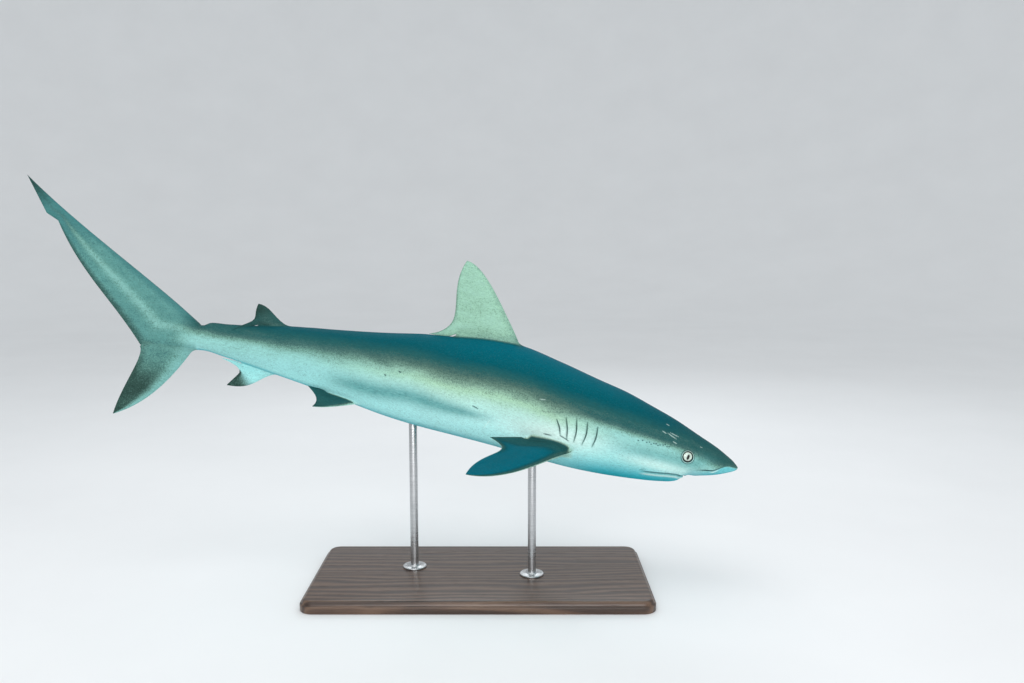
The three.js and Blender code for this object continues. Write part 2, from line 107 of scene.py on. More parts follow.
def ease(value, low, high):
    """A soft step from 0 to 1."""
    t = np.clip((value - low) / (high - low), 0, 1)
    return t * t * (3 - 2 * t)


def unit(vectors):
    """The same directions at length one."""
    return vectors / np.maximum(np.linalg.norm(vectors, axis=-1, keepdims=True), NOTHING)


def run_along(points):
    """The distance covered at each point of a line of points."""
    return np.concatenate([[0], np.cumsum(np.linalg.norm(np.diff(points, axis=0), axis=1))])


yaw_at = smooth(YAW)


def directions(s):
    """Forward, left and up at stations s."""
    yaw = np.radians(yaw_at(s))
    fall = PITCH["per_length"] * (np.minimum(s, PITCH["fixed_from"]) - PITCH["at"])
    pitch = np.radians(PITCH["degrees"] - fall)
    forward = np.stack([np.cos(pitch) * np.cos(yaw), -np.cos(pitch) * np.sin(yaw), -np.sin(pitch)], -1)
    up = np.stack([np.sin(pitch) * np.cos(yaw), -np.sin(pitch) * np.sin(yaw), np.cos(pitch)], -1)
    return forward, np.cross(up, forward), up


SPINE_STEPS = 400
TAIL_TIP = 100
spine_s = np.linspace(0, TAIL_TIP, SPINE_STEPS + 1)
strides = directions((spine_s[1:] + spine_s[:-1]) / 2)[0] * (TAIL_TIP / SPINE_STEPS)
spine = np.concatenate([np.zeros((1, 3)), -np.cumsum(strides, axis=0)])


def spine_at(s):
    return np.stack([np.interp(s, spine_s, spine[:, axis]) for axis in range(3)], -1)


def bend(points):
    """Carries points of the straight shark into their places, in metres."""
    points = np.asarray(points, float)
    s, y, z = points[..., 0], points[..., 1:2], points[..., 2:3]
    _, left, up = directions(s)
    line = (spine_at(s) - spine_at(HELD_STATION)) * UNIT + HELD_AT
    return line + (left * y + up * z) * UNIT


print("snout tip at", bend([0, 0, 0]).round(3), "tail tip at", bend([95.9, 0, 18.8]).round(3))

# %% [markdown]
# ## The body's sections
# Each section of the trunk is a squashed circle, fuller above or below its widest level. Four tables
# give the back line, the belly line, the half width and the widest level from snout to tail stalk.

# %% The trunk's tables
BACK = [
    [0, 0.1], [1.1, 0.6], [2.6, 1.25], [6, 2.35], [9.4, 3.42], [12.6, 4.2], [16, 5.0], [20, 5.6],
    [25.4, 6.52], [31, 7.28], [35, 7.05], [39.5, 6.32], [43, 5.8], [49, 4.72], [56, 3.82], [62, 3.3],
    [66, 2.75], [70, 2.42], [72.4, 2.3], [73.4, 1.97],
]
BELLY = [
    [0, -0.32], [0.6, -0.56], [1.3, -0.98], [2.6, -1.68], [5.0, -2.64], [6.5, -3.24], [6.68, -3.48],
    [7.0, -3.92], [7.7, -4.36], [8.9, -4.75], [12.8, -5.6], [16, -6.1], [20, -6.5], [25, -6.62],
    [31, -6.52], [37.5, -6.55], [42.5, -6.5], [47.3, -6.13], [51, -5.58], [58, -4.27], [63.2, -3.33],
    [70, -1.95], [72.6, -1.45], [73.4, -1.47],
]
HALF_WIDTH = [
    [0, 1.5], [1, 2.1], [2, 2.65], [3.3, 3.1], [5, 3.55], [7, 4.0], [12, 4.78], [16, 5.2],
    [21, 5.55], [27, 5.7], [33, 5.65], [40, 5.3], [47, 4.65], [55, 3.65], [63, 2.55], [70, 1.75],
    [73.6, 1.45],
]
WIDEST_LEVEL = [
    [0, -0.13], [1, -0.3], [3, -0.6], [7, -0.6], [12, -0.9], [20, -1.0], [31, -0.6], [50, -0.5],
    [63, -0.1], [73.6, 0.2],
]
BACK_FULLNESS = [[0, 2], [50, 2], [66, 2.5], [73.6, 2.3]]
BELLY_FULLNESS = [[0, 2.3], [5, 2.2], [9, 2], [30, 2.1], [73.6, 2.2]]
NOSE_RADIUS = 0.9  # length over which the snout's tip rounds off
LEAST_SHARE = 1e-6  # keeps points on the middle line from dividing by nothing
STALK_END = 73.4
print(len(BACK), "stations on the back line,", len(BELLY), "on the belly line")

# %% The trunk's surface
GIRTH_AT = 31

back, belly, half_width, widest_level, back_fullness, belly_fullness = (
    smooth(table) for table in (BACK, BELLY, HALF_WIDTH, WIDEST_LEVEL, BACK_FULLNESS, BELLY_FULLNESS))


def section(s, upper):
    """Height or depth from the widest level, half width, level and power of a section's curve."""
    level = widest_level(s)
    reach = np.clip(s / NOSE_RADIUS, 0, 1)
    nose = np.sqrt(reach * (2 - reach))
    height = np.where(upper, back(s) - level, level - belly(s)) * nose
    power = np.where(upper, back_fullness(s), belly_fullness(s))
    return height, half_width(s) * nose, level, power


def signed_power(value, power):
    return np.sign(value) * np.abs(value) ** power


def trunk_point(s, angle):
    """A point of the trunk; angle 0 is its right side and a quarter turn is the top of the back."""
    s, angle = np.broadcast_arrays(np.asarray(s, float), angle)
    height, wide, level, power = section(s, np.sin(angle) >= 0)
    y = -wide * signed_power(np.cos(angle), 2 / power)
    return np.stack([s, y, level + height * signed_power(np.sin(angle), 2 / power)], -1)


def above_trunk(points):
    """Roughly how far points lie outside the trunk, measured out from its middle line."""
    s, y, z = np.moveaxis(points, -1, 0)
    _, _, level, _ = section(s, True)
    height, wide, level, power = section(s, z >= level)
    share = (np.abs(y / wide) ** power + np.abs((z - level) / height) ** power) ** (1 / power)
    return np.hypot(y, z - level) * (1 - 1 / np.maximum(share, LEAST_SHARE))


girth = run_along(trunk_point(GIRTH_AT, np.linspace(0, 2 * np.pi, 200)))[-1] * UNIT
print("girth at station", GIRTH_AT, "is", round(float(girth), 3), "m")

# %% [markdown]
# ## The fins' outlines
# A shark's fin is a thin foil with a long sloping leading edge, a hollow trailing edge and a free rear
# tip. Each outline is three curves in the fin's own plane, along the body and out from it, and a
# small function places that plane on the body: upright, lying over, or drooping from the flank.

# %% The fins' outlines
FIN_EDGE = 0.025  # half thickness along a fin's edges
FOIL_PEAK = 0.3  # thickest place of a fin's section, from its leading edge
CURVE_POINTS = 201  # points along each curve of an outline

FIRST_DORSAL = {
    "origin": [30.8, 7.0], "leading": [[34.5, 11.8], [37.6, 16.45]], "apex": [40.0, 16.5],
    "insertion": [39.5, 6.1], "free_tip": [43.1, 5.95], "trailing": [[37.5, 7.9], [42.1, 11.5]],
    "thick": 0.62, "outward": 1,
}
SECOND_DORSAL = {
    "origin": [61.5, 3.3], "leading": [[63.8, 3.5], [64.3, 5.6]], "apex": [66.2, 5.75],
    "insertion": [65.9, 2.75], "free_tip": [68.9, 1.95], "trailing": [[65.2, 3.9], [66.9, 3.5]],
    "thick": 0.32, "outward": 1,
}
SECOND_DORSAL_FLOP = {"from": 65.9, "slope": 0.45}
ANAL = {
    "origin": [62.6, -3.4], "leading": [[65.4, -4.0], [65.3, -6.1]], "apex": [69.2, -5.8],
    "insertion": [67.6, -2.45], "free_tip": [70.3, -2.2], "trailing": [[66.6, -3.5], [67.35, -3.45]],
    "thick": 0.34, "outward": -1,
}
PECTORAL = {
    "hinge": [21.0, 4.8, -3.6], "rise": 0.1, "droop": 8,
    "origin": [0, 0], "leading": [[2.5, 3.8], [4.45, 13.6]], "apex": [9.6, 15.9],
    "insertion": [5.8, 0.3], "free_tip": [9.7, 4.3], "trailing": [[5.0, 5.8], [10.0, 8.7]],
    "thick": 0.85, "outward": 1,
}
PELVIC = {
    "hinge": [50.0, 2.2, -4.9], "rise": 0.15, "droop": 38,
    "origin": [0, 0], "leading": [[2.2, 1.0], [4.4, 2.75]], "apex": [6.1, 3.1],
    "insertion": [4.7, -0.3], "free_tip": [7.7, 0.1], "trailing": [[6.5, 0.95], [5.3, 1.6]],
    "thick": 0.36, "outward": 1,
}
LOWER_LOBE = {
    "origin": [74.0, -1.4], "leading": [[76.0, -4.7], [78.7, -9.2]], "apex": [83.5, -11.15],
    "insertion": [80.7, -1.6], "free_tip": [80.85, -1.75], "trailing": [[80.1, -3.0], [82.7, -7.1]],
    "thick": 0.42, "outward": -1,
}


print("pectoral fin reaches", PECTORAL["apex"][1] * UNIT, "m out from its root")


# %% Curves and places of the fins
def path(points):
    """A function that runs along a line of points by share of its length."""
    points = np.array(points, float)
    run = run_along(points)

    def at(share):
        return np.stack([np.interp(share * run[-1], run, column) for column in points.T], -1)

    at.length = run[-1]
    return at


def bezier(start, handles, end):
    a, b, c, d = np.array([start, *handles, end], float)
    t = np.linspace(0, 1, CURVE_POINTS)[:, None]
    return path((1 - t) ** 3 * a + 3 * (1 - t) ** 2 * t * b + 3 * (1 - t) * t * t * c + t**3 * d)


def foil(u):
    front = np.sqrt(np.clip(1 - (1 - u / FOIL_PEAK) ** 2, 0, 1))
    return np.where(u < FOIL_PEAK, front, 0.5 + 0.5 * np.cos(np.pi * (u - FOIL_PEAK) / (1 - FOIL_PEAK)))


def median_place(along, out, sideways):
    return np.stack(np.broadcast_arrays(along, sideways, out), -1)


def flopped_place(along, out, sideways):
    lean = SECOND_DORSAL_FLOP["slope"] * np.maximum(along - SECOND_DORSAL_FLOP["from"], 0)
    return median_place(along, out, sideways - lean)


def paired_place(fin, side):
    """Places a paired fin; side is 1 on the shark's left and -1 on its right."""
    cos, sin = math.cos(math.radians(fin["droop"])), math.sin(math.radians(fin["droop"]))
    s, y, z = fin["hinge"]

    def place(along, out, sideways):
        across = side * (y + out * cos + sideways * sin)
        return np.stack([s + along, across, z + fin["rise"] * along - out * sin + sideways * cos], -1)

    return place


# %% [markdown]
# ## The upper lobe of the tail
# The tail's upper lobe is the end of the body itself: the backbone runs up into it. So its sections go
# straight on from the trunk's, turning from an oval stalk into a plate with a thick band of muscle
# along the top and a thin web below it.

# %% The tail's surface
TAIL = {
    "origin": [73.42, 1.95], "leading": [[79.4, 6.85], [89.0, 12.6]], "tip": [95.9, 18.8],
    "base": [73.42, -1.47], "fork": [80.85, -1.55], "fork_share": 0.15,
    "hind": [[84.9, 4.2], [88.8, 7.0]], "notch": [91.95, 13.5], "corner": [93.35, 14.3],
    "stalk_thick": 1.45, "thick": 0.62, "tip_thick": 0.14,
}
TAIL_ROOT_ROWS = 18
TAIL_ROWS = {"hind": 44, "notch": 4, "corner": 12}
MUSCLE_BAND = {"middle": 0.2, "half": 0.32, "share": 0.55}
STALK_FULLNESS, WEB_FULLNESS = 2.25, 2
KEEL_THICK = 0.32  # half thickness left along the root's underside, where the lower lobe starts
TIP_CUT = 0.05  # how far the last row stays short of a point


def tail_rungs():
    """Points of the leading and trailing edge, and the share of the way to the tip, row by row."""
    leading = bezier(TAIL["origin"], TAIL["leading"], TAIL["tip"])
    share = TAIL["fork_share"]
    grow = np.arange(1, TAIL_ROOT_ROWS + 1) / TAIL_ROOT_ROWS
    leads, shares = [leading(share * grow)], [share * grow]
    trails = [path([TAIL["base"], TAIL["fork"]])(grow)]
    pieces = [
        (bezier(TAIL["fork"], TAIL["hind"], TAIL["notch"]), TAIL_ROWS["hind"]),
        (path([TAIL["notch"], TAIL["corner"]]), TAIL_ROWS["notch"]),
        (path([TAIL["corner"], TAIL["tip"]]), TAIL_ROWS["corner"]),
    ]
    total, done = sum(piece.length for piece, _ in pieces), 0
    for piece, rows in pieces:
        grow = np.arange(1, rows + 1) / rows
        if piece is pieces[-1][0]:
            grow[-1] -= TIP_CUT / rows
        part = share + (1 - share) * (done + piece.length * grow) / total
        leads.append(leading(part))
        trails.append(piece(grow))
        shares.append(part)
        done += piece.length
    return np.concatenate(leads), np.concatenate(trails), np.concatenate(shares)


def tail_sections(angles):
    """The tail's rings, with each point's share of the chord and of the way to the tip."""
    lead, trail, share = (np.expand_dims(part, 1) for part in tail_rungs())
    flat = ease(share, 0, TAIL["fork_share"])
    power = 2 / (STALK_FULLNESS + (WEB_FULLNESS - STALK_FULLNESS) * flat)
    u = 0.5 - 0.5 * signed_power(np.sin(angles), power)
    across = lead + (trail - lead) * u[..., None]
    oval = np.abs(np.cos(angles)) ** power
    bulge = np.clip(1 - ((u - MUSCLE_BAND["middle"]) / MUSCLE_BAND["half"]) ** 2, 0, 1) ** 1.6
    web = np.sqrt(np.clip(u / 0.1, 0, 1)) * (1 - u) ** 0.6
    plate = MUSCLE_BAND["share"] * bulge + (1 - MUSCLE_BAND["share"]) * 1.4 * web
    beyond = np.clip((share - TAIL["fork_share"]) / (1 - TAIL["fork_share"]), 0, 1)
    plate_thick = TAIL["thick"] + (TAIL["tip_thick"] - TAIL["thick"]) * beyond**0.8
    half = (1 - flat) * TAIL["stalk_thick"] * oval + flat * plate_thick * plate
    keel = KEEL_THICK * np.clip(1 - share / TAIL["fork_share"], 0, 1) * ease(share, 0, 0.05)
    half = half + keel * np.sqrt(np.abs(np.cos(angles))) * ease(u, 0.5, 0.95)
    edge = FIN_EDGE * np.minimum(1, 8 * share)
    side = -np.sign(np.round(np.cos(angles), 6))
    points = np.stack([across[..., 0], side * (half + edge), across[..., 1]], -1)
    return points, u, np.broadcast_to(share, u.shape)


# %% [markdown]
# ## One grid for the body
# A cast skin has no joints, so its mesh must be one closed surface. The body is a grid of rings and
# columns. Where a fin grows, a rectangle of the grid is left out, and the fin's own rings start from
# that opening. This keeps every seam out of the surface and gives clean loops around the fin roots.

# %% Rings, columns and openings
COLUMNS = 96
TOP, BOTTOM = COLUMNS // 4, 3 * COLUMNS // 4
SPACING = smooth([[0, 0.22], [14, 0.26], [26, 0.32], [34, 0.42], [60, 0.42], [73.4, 0.35]])
NOSE_TURNS = np.radians([7, 16, 27, 39, 52, 65, 78, 90])

# Each opening is [first station, last station, first column, last column].
OPENINGS = {
    "dorsal_fin_first": [30.3, 40.1, TOP - 3, TOP + 3],
    "dorsal_fin_second": [61.4, 66.3, TOP - 3, TOP + 3],
    "anal_fin": [62.3, 68.0, BOTTOM - 3, BOTTOM + 3],
    "pectoral_fin_right": [20.2, 27.7, 85, 93],
    "pectoral_fin_left": [20.2, 27.7, 51, 59],
    "pelvic_fin_right": [49.5, 55.2, 78, 83],
    "pelvic_fin_left": [49.5, 55.2, 61, 66],
}


def stations():
    """Ring stations that hit the openings' ends, with about SPACING between them."""
    fixed = sorted({NOSE_RADIUS, STALK_END} | {s for opening in OPENINGS.values() for s in opening[:2]})
    made = [NOSE_RADIUS * (1 - math.cos(turn)) for turn in NOSE_TURNS]
    for start, end in zip(fixed, fixed[1:]):
        steps = max(1, round((end - start) / float(SPACING((start + end) / 2))))
        made += [start + (end - start) * i / steps for i in range(1, steps + 1)]
    return np.array(made)


ring_s = stations()
angles = 2 * np.pi * np.arange(COLUMNS) / COLUMNS
trunk_rings = trunk_point(ring_s[:, None], angles[None, :])
tail_rings, tail_u, tail_share = tail_sections(angles[None, :])
grid = np.concatenate([trunk_rings, tail_rings])
FIRST_TAIL_ROW = len(ring_s)
TEST_ROW = 40  # a ring of the trunk that tells outwards from inwards
print(len(ring_s), "rings on the trunk,", len(tail_rings), "on the tail,", COLUMNS, "columns")

OPENING_ROWS = {
    name: [int(np.argmin(np.abs(ring_s - first))), int(np.argmin(np.abs(ring_s - last))), low, high]
    for name, (first, last, low, high) in OPENINGS.items()
}
OPENING_ROWS["caudal_fin_lower"] = [
    FIRST_TAIL_ROW - 1, FIRST_TAIL_ROW + TAIL_ROOT_ROWS - 1, BOTTOM - 10, BOTTOM + 10]

across_grid = np.roll(grid, -1, axis=1) - np.roll(grid, 1, axis=1)
grid_normal = unit(np.cross(across_grid, np.gradient(grid, axis=0)))
test_ring = grid[TEST_ROW] - grid[TEST_ROW].mean(axis=0)
grid_normal *= np.sign((grid_normal[TEST_ROW] * test_ring).sum())
print(len(OPENING_ROWS), "openings for fins")

# %% [markdown]
# ## Growing a fin out of the body
# A sculptor would pull a fin out of the clay and smooth its root. `grow_fin` does the same: its first
# rings are a fillet that leaves the body along the skin and turns up into the fin. The next rings fan
# out to the free rear tip, and the rest step to the apex, where the two faces meet.

# %% Fin rings
FILLET_ROWS = 5
SETTLE_HEIGHT = 4.0  # height over which a fin's root follows the curve of the body
SEARCH_IN, SEARCH_OUT, SEARCH_STEPS = 3, 4, 26  # how far the skin is looked for, and halvings
ROOT_SPAN, ROOT_SAMPLES = 0.6, 241  # the stretch of leading edge on which the root is looked for


def ring_shape(along_steps, across_steps):
    """Share of chord, side and end bulge of a ring's points: one face, rear edge, other face, front."""
    k = np.arange(along_steps + 1) / along_steps
    u = 0.35 * k + 0.65 * (0.5 - 0.5 * np.cos(np.pi * k))
    turn = np.pi * np.arange(1, across_steps) / across_steps
    flat, ends = np.zeros_like(u), np.zeros_like(turn)
    chord = np.concatenate([u, ends + 1, u[::-1], ends])
    side = np.concatenate([flat - 1, -np.cos(turn), flat + 1, np.cos(turn)])
    bulge = np.concatenate([flat, np.sin(turn), flat, -np.sin(turn)])
    return chord, side, bulge


def clear_out(place, along, out, sideways, outside, wanted, sign):
    """The place along the fin's outward axis where a point is `wanted` clear of the body."""
    low, high = out - SEARCH_IN * sign, out + SEARCH_OUT * sign
    for _ in range(SEARCH_STEPS):
        middle = (low + high) / 2
        inside = outside(place(along, middle, sideways)) < wanted
        low, high = np.where(inside, middle, low), np.where(inside, high, middle)
    return high


def fin_edges(fin, place, outside, inner_rows, outer_rows, fillet):
    """The front and rear point of each of a fin's rings, and its share of the leading edge."""
    leading = bezier(fin["origin"], fin["leading"], fin["apex"])
    shares = np.linspace(0, ROOT_SPAN, ROOT_SAMPLES)
    ahead = leading(shares)
    start = shares[np.argmax(outside(place(ahead[:, 0], ahead[:, 1], 0)) > fillet)]
    inner_end = max(0.1, start + 0.06)
    grow = np.arange(inner_rows + 1) / inner_rows
    v = np.arange(1, outer_rows + 1) / outer_rows
    v[-1] = 1 - TIP_CUT / outer_rows
    span = np.concatenate([start + (inner_end - start) * grow, inner_end + (1 - inner_end) * v])
    inner = path([fin["insertion"], fin["free_tip"]])(grow)
    outer = bezier(fin["free_tip"], fin["trailing"], fin["apex"])(v)
    return leading(span), np.concatenate([inner, outer]), span


def fin_rows(fin, place, outside, shape, inner_rows, outer_rows, fillet):
    """A fin's rings from just clear of the body to the apex, their spans, and the way the first rises."""
    chord, side, bulge = shape
    sign = fin["outward"]
    lead, trail, span = fin_edges(fin, place, outside, inner_rows, outer_rows, fillet)
    chord_line = trail - lead
    flat = lead[:, None] + chord_line[:, None] * chord[:, None]
    flat = flat + unit(chord_line)[:, None] * (FIN_EDGE * bulge[:, None])
    length = np.linalg.norm(chord_line, axis=1) / np.linalg.norm(chord_line[0])
    keep_root = 1 - ease(np.arange(len(span)), inner_rows, inner_rows + outer_rows / 2)
    stretch = 1 + np.maximum(length - 1, 0) * keep_root
    thick = (1 - span[:, None]) ** 0.8 * foil(np.clip(chord * stretch[:, None], 0, 1))
    thick = FIN_EDGE + fin["thick"] * thick
    along, out, sideways = flat[..., 0], flat[..., 1], side * thick
    # Near the body the rings keep clear of the skin, less so behind the insertion.
    base_line = np.array([lead[0], *trail[:inner_rows + 1]])
    base = np.interp(along, base_line[:, 0], base_line[:, 1])
    behind = np.clip((along - trail[0, 0]) / (trail[inner_rows, 0] - trail[0, 0]), 0, 1)
    clearance = fillet * (1 - 0.94 * ease(behind, 0, 0.25))
    lift = clear_out(place, along, base, sideways, outside, clearance, sign) - base
    lift = np.where((behind > 0) & (sign * lift < 0), 0, lift)
    height = sign * (out - base)
    out = out + lift * np.clip(1 - height / SETTLE_HEIGHT, 0, 1) ** 2
    forward, outwards = lead[1] - lead[0]
    lean = forward / abs(outwards) * (1 - chord) ** 6 + 0.8 * chord**12
    rise = place(along[0] + lean, out[0] + sign, sideways[0]) - place(along[0], out[0], sideways[0])
    return place(along, out, sideways), np.broadcast_to(span[:, None], out.shape), rise


# %% Points and faces of the mesh
mesh_points = [grid.reshape(-1, 3)]
mesh_faces = []
row_index = np.arange(grid.shape[0] * COLUMNS).reshape(grid.shape[0], COLUMNS)
open_cells = np.zeros((grid.shape[0] - 1, COLUMNS), bool)
fin_notes = []  # name, first point, and shares of chord, span and fillet of every fin's rings


def add_points(points):
    first = sum(len(p) for p in mesh_points)
    mesh_points.append(points.reshape(-1, 3))
    return first + np.arange(points[..., 0].size).reshape(points.shape[:-1])


def strips(rings):
    """Quads between rings of point numbers, each ring closed."""
    a, b = rings[:-1], rings[1:]
    quads = np.stack([a, np.roll(a, -1, 1), np.roll(b, -1, 1), b], -1)
    return [tuple(quad) for quad in quads.reshape(-1, 4)]


print(row_index.size, "points in the grid of the body")


# %% Grow the fins
def opening_edge(first, last, low, high):
    """Rows and columns of the grid round an opening, in the order of a fin's ring."""
    rows, columns = np.arange(first, last), np.arange(low, high)
    edge_rows = [rows, np.full(len(columns), last), rows[::-1] + 1, np.full(len(columns), first)]
    edge_columns = [np.full(len(rows), low), columns, np.full(len(rows), high), columns[::-1] + 1]
    return np.concatenate(edge_rows), np.concatenate(edge_columns)


def fillet_rings(border, normal, first_ring, arrive):
    """Rings that leave the skin along it at the border and turn up into a fin's first ring."""
    step = first_ring - border
    reach = np.linalg.norm(step, axis=-1, keepdims=True)
    leave = step - (step * normal).sum(-1, keepdims=True) * normal
    leave *= reach / (np.linalg.norm(leave, axis=-1, keepdims=True) + 0.3 * reach)
    w = (np.arange(1, FILLET_ROWS) / FILLET_ROWS)[:, None, None]
    return (
        (1 + 2 * w) * (1 - w) ** 2 * border + w * (1 - w) ** 2 * leave
        + w * w * (3 - 2 * w) * first_ring - w * w * (1 - w) * unit(arrive) * reach)


def close_tip(tip, m, n):
    """Faces between the two sides of a fin's last ring, with m steps along and n across."""
    face_a, rear, face_b, front = np.split(tip, [m + 1, m + n, 2 * m + n + 1])
    face_b = face_b[::-1]
    mesh_faces.extend((face_a[k], face_a[k + 1], face_b[k + 1], face_b[k]) for k in range(m))
    mesh_faces.append((face_a[-1], *rear, face_b[-1]))
    mesh_faces.append((face_b[0], *front, face_a[0]))


def grow_fin(name, fin, place, outside, inner_rows, outer_rows, fillet, flip=False):
    first, last, low, high = OPENING_ROWS[name]
    open_cells[first:last, low:high] = True
    edge = opening_edge(first, last, low, high)
    chord, side, bulge = ring_shape(last - first, high - low)
    shape = (chord, -side if flip else side, bulge)
    rows, span, arrive = fin_rows(fin, place, outside, shape, inner_rows, outer_rows, fillet)
    made = np.concatenate([fillet_rings(grid[edge], grid_normal[edge], rows[0], arrive), rows])
    numbers = add_points(made)
    mesh_faces.extend(strips(np.concatenate([row_index[edge][None], numbers])))
    close_tip(numbers[-1], last - first, high - low)
    rise_share = np.concatenate([np.arange(1, FILLET_ROWS) / FILLET_ROWS, np.ones(len(rows))])
    spans = np.concatenate([np.broadcast_to(span[0], (FILLET_ROWS - 1, len(chord))), span])
    notes = np.broadcast_arrays(chord, spans, rise_share[:, None])
    fin_notes.append((name, numbers[0, 0], *notes))
    print(f"{name}: {len(made)} rings of {len(chord)} points")


def below_tail_root(points):
    return TAIL["base"][1] - points[..., 2]


grow_fin("dorsal_fin_first", FIRST_DORSAL, median_place, above_trunk, 9, 24, 0.38)
grow_fin("dorsal_fin_second", SECOND_DORSAL, flopped_place, above_trunk, 8, 12, 0.22)
grow_fin("anal_fin", ANAL, median_place, above_trunk, 7, 14, 0.22, flip=True)
for pair, fin, outer_rows, fillet in (("pectoral", PECTORAL, 34, 0.38), ("pelvic", PELVIC, 12, 0.22)):
    for word, side in (("right", -1), ("left", 1)):
        name, place = f"{pair}_fin_{word}", paired_place(fin, side)
        grow_fin(name, fin, place, above_trunk, 8, outer_rows, fillet, flip=side > 0)
grow_fin("caudal_fin_lower", LOWER_LOBE, median_place, below_tail_root, 4, 26, 0.5, flip=True)

# %% Close the body around the openings
nose = add_points(np.array([[0.0, 0.0, float(widest_level(0))]]))[0]
tail_end = add_points(grid[-1].mean(axis=0)[None])[0]
for i, j in zip(*np.nonzero(~open_cells)):
    k = (j + 1) % COLUMNS
    mesh_faces.append((row_index[i, j], row_index[i + 1, j], row_index[i + 1, k], row_index[i, k]))
for j in range(COLUMNS):
    k = (j + 1) % COLUMNS
    mesh_faces.append((nose, row_index[0, j], row_index[0, k]))
    mesh_faces.append((tail_end, row_index[-1, k], row_index[-1, j]))


def as_triangles(points, faces):
    """Quads split along their shorter diagonal, and longer faces as fans."""
    a, b, c, d = np.array([face for face in faces if len(face) == 4]).T
    first, second = (np.linalg.norm(points[m] - points[n], axis=1) for m, n in ((a, c), (b, d)))
    split = np.where((first <= second)[:, None], np.stack([a, b, c, a, c, d], 1),
                     np.stack([a, b, d, b, c, d], 1))
    rest = [(face[0], face[i], face[i + 1]) for face in faces if len(face) != 4
            for i in range(1, len(face) - 1)]
    return np.concatenate([split.reshape(-1, 3), np.array(rest)])


points = np.concatenate(mesh_points)
triangles = as_triangles(points, mesh_faces)
corners = bend(points)[triangles]
if (np.cross(corners[:, 0], corners[:, 1]) * corners[:, 2]).sum() < 0:
    triangles = triangles[:, ::-1]

# Chart coordinates: station and angle of the trunk's points; nothing elsewhere.
chart = np.full((len(points), 2), np.nan)
trunk_count = FIRST_TAIL_ROW * COLUMNS
chart[:trunk_count, 0] = np.repeat(ring_s, COLUMNS)
chart[:trunk_count, 1] = np.tile(angles, FIRST_TAIL_ROW)
print(len(points), "points and", len(triangles), "triangles in the plain body")

# %% [markdown]
# ## The mouth, gill slits, nostrils and eyes as lines on the skin
# The fine features lie along lines on the body: each is given by a few stations and levels on the
# flank and drawn on both sides. The mesh is then split finer near these lines, in its own chart of
# station and angle, so that new points lie exactly on the body and no point is spent elsewhere.

# %% Feature lines
MM = 1000 * UNIT  # millimetres in one per cent of the shark's length

MOUTH_FRONT = [[6.48, 270], [6.5, 284]]  # station and angle, from the midline
MOUTH_SIDE = [[6.75, -2.7], [7.6, -2.67], [8.5, -2.8], [9.45, -3.0], [10.6, -3.22], [12.3, -3.5]]
LABIAL_FOLD = [[12.3, -3.4], [11.9, -3.1], [11.4, -2.9]]
GILL_SLITS = [
    [[18.45, 0.86], [18.3, -0.6], [18.5, -2.05]],
    [[19.8, 1.12], [19.55, -0.5], [19.75, -2.1]],
    [[21.2, 1.12], [20.8, -0.5], [20.8, -2.05]],
    [[22.5, 0.95], [21.95, -0.5], [21.7, -1.95]],
    [[23.6, 0.42], [22.95, -0.55], [22.6, -1.55]],
]
NOSTRIL = [[5.9, -1.5], [4.6, -1.13], [3.45, -0.88], [2.75, -0.42], [2.0, 0.0], [1.3, 0.04]]
# Small marks on the right flank: scratches are pale, nicks and the holes of the sense organs dark.
MARKS = {
    "scratch": [
        [[10.07, 2.12], [9.15, 1.81]], [[9.78, 2.23], [8.74, 2.01]], [[10.74, 2.2], [10.32, 2.06]],
        [[9.71, 1.97], [8.94, 1.74]], [[9.2, 1.36], [8.78, 1.25]], [[10.45, 3.0], [10.15, 2.92]],
        [[5.69, 1.47], [5.51, 1.44]], [[26.2, 2.16], [25.6, 2.26]], [[31.7, -1.9], [32.5, -3.6]]],
    "nick": [
        [[24.6, -1.9], [23.75, -1.84]], [[22.6, -1.55], [22.05, -1.72]], [[22.0, -1.74], [21.5, -1.9]],
        [[46.95, 0.18], [46.8, 0.1]], [[45.1, 1.0], [44.85, 0.96]], [[34.35, -0.85], [33.65, -1.02]]],
    "hole": [[[s, z], [s - 0.04, z]] for s, z in (
        [13.35, 0.46], [12.84, 0.61], [12.3, 0.5], [12.0, 0.62], [11.74, 0.43], [11.45, 0.6],
        [11.18, 0.65], [10.9, 0.5], [10.67, 0.61], [10.32, 0.7], [10.1, 0.82], [9.8, 0.62],
        [9.56, 0.68])],
}
EYE = {"s": 7.0, "z": 0.05, "opening": 14.0, "forward": 11, "up": 8}  # opening radius in mm


print({name: len(lines) for name, lines in MARKS.items()}, "small marks")


# %% Lines on the skin
def flank_angle(s, z):
    """The angle on the right side at which the trunk has a level z."""
    height, _, level, power = section(np.asarray(s, float), np.asarray(z) >= widest_level(s))
    lean = signed_power(np.clip((z - level) / height, -1, 1), power / 2)
    return np.mod(np.arcsin(lean), 2 * np.pi)


def soft_line(knots, count):
    """Many points along a smooth line through knots."""
    knots = np.array(knots, float)
    run = run_along(knots)
    at = np.linspace(0, run[-1], count)
    return np.stack([smooth(np.stack([run, column], 1))(at) for column in knots.T], -1)


def on_skin(s, angle, mirrored):
    made = trunk_point(s, angle)
    return made * [1, -1, 1] if mirrored else made


def flank_line(knots, count, mirrored):
    line = soft_line(knots, count)
    return on_skin(line[:, 0], flank_angle(line[:, 0], line[:, 1]), mirrored)


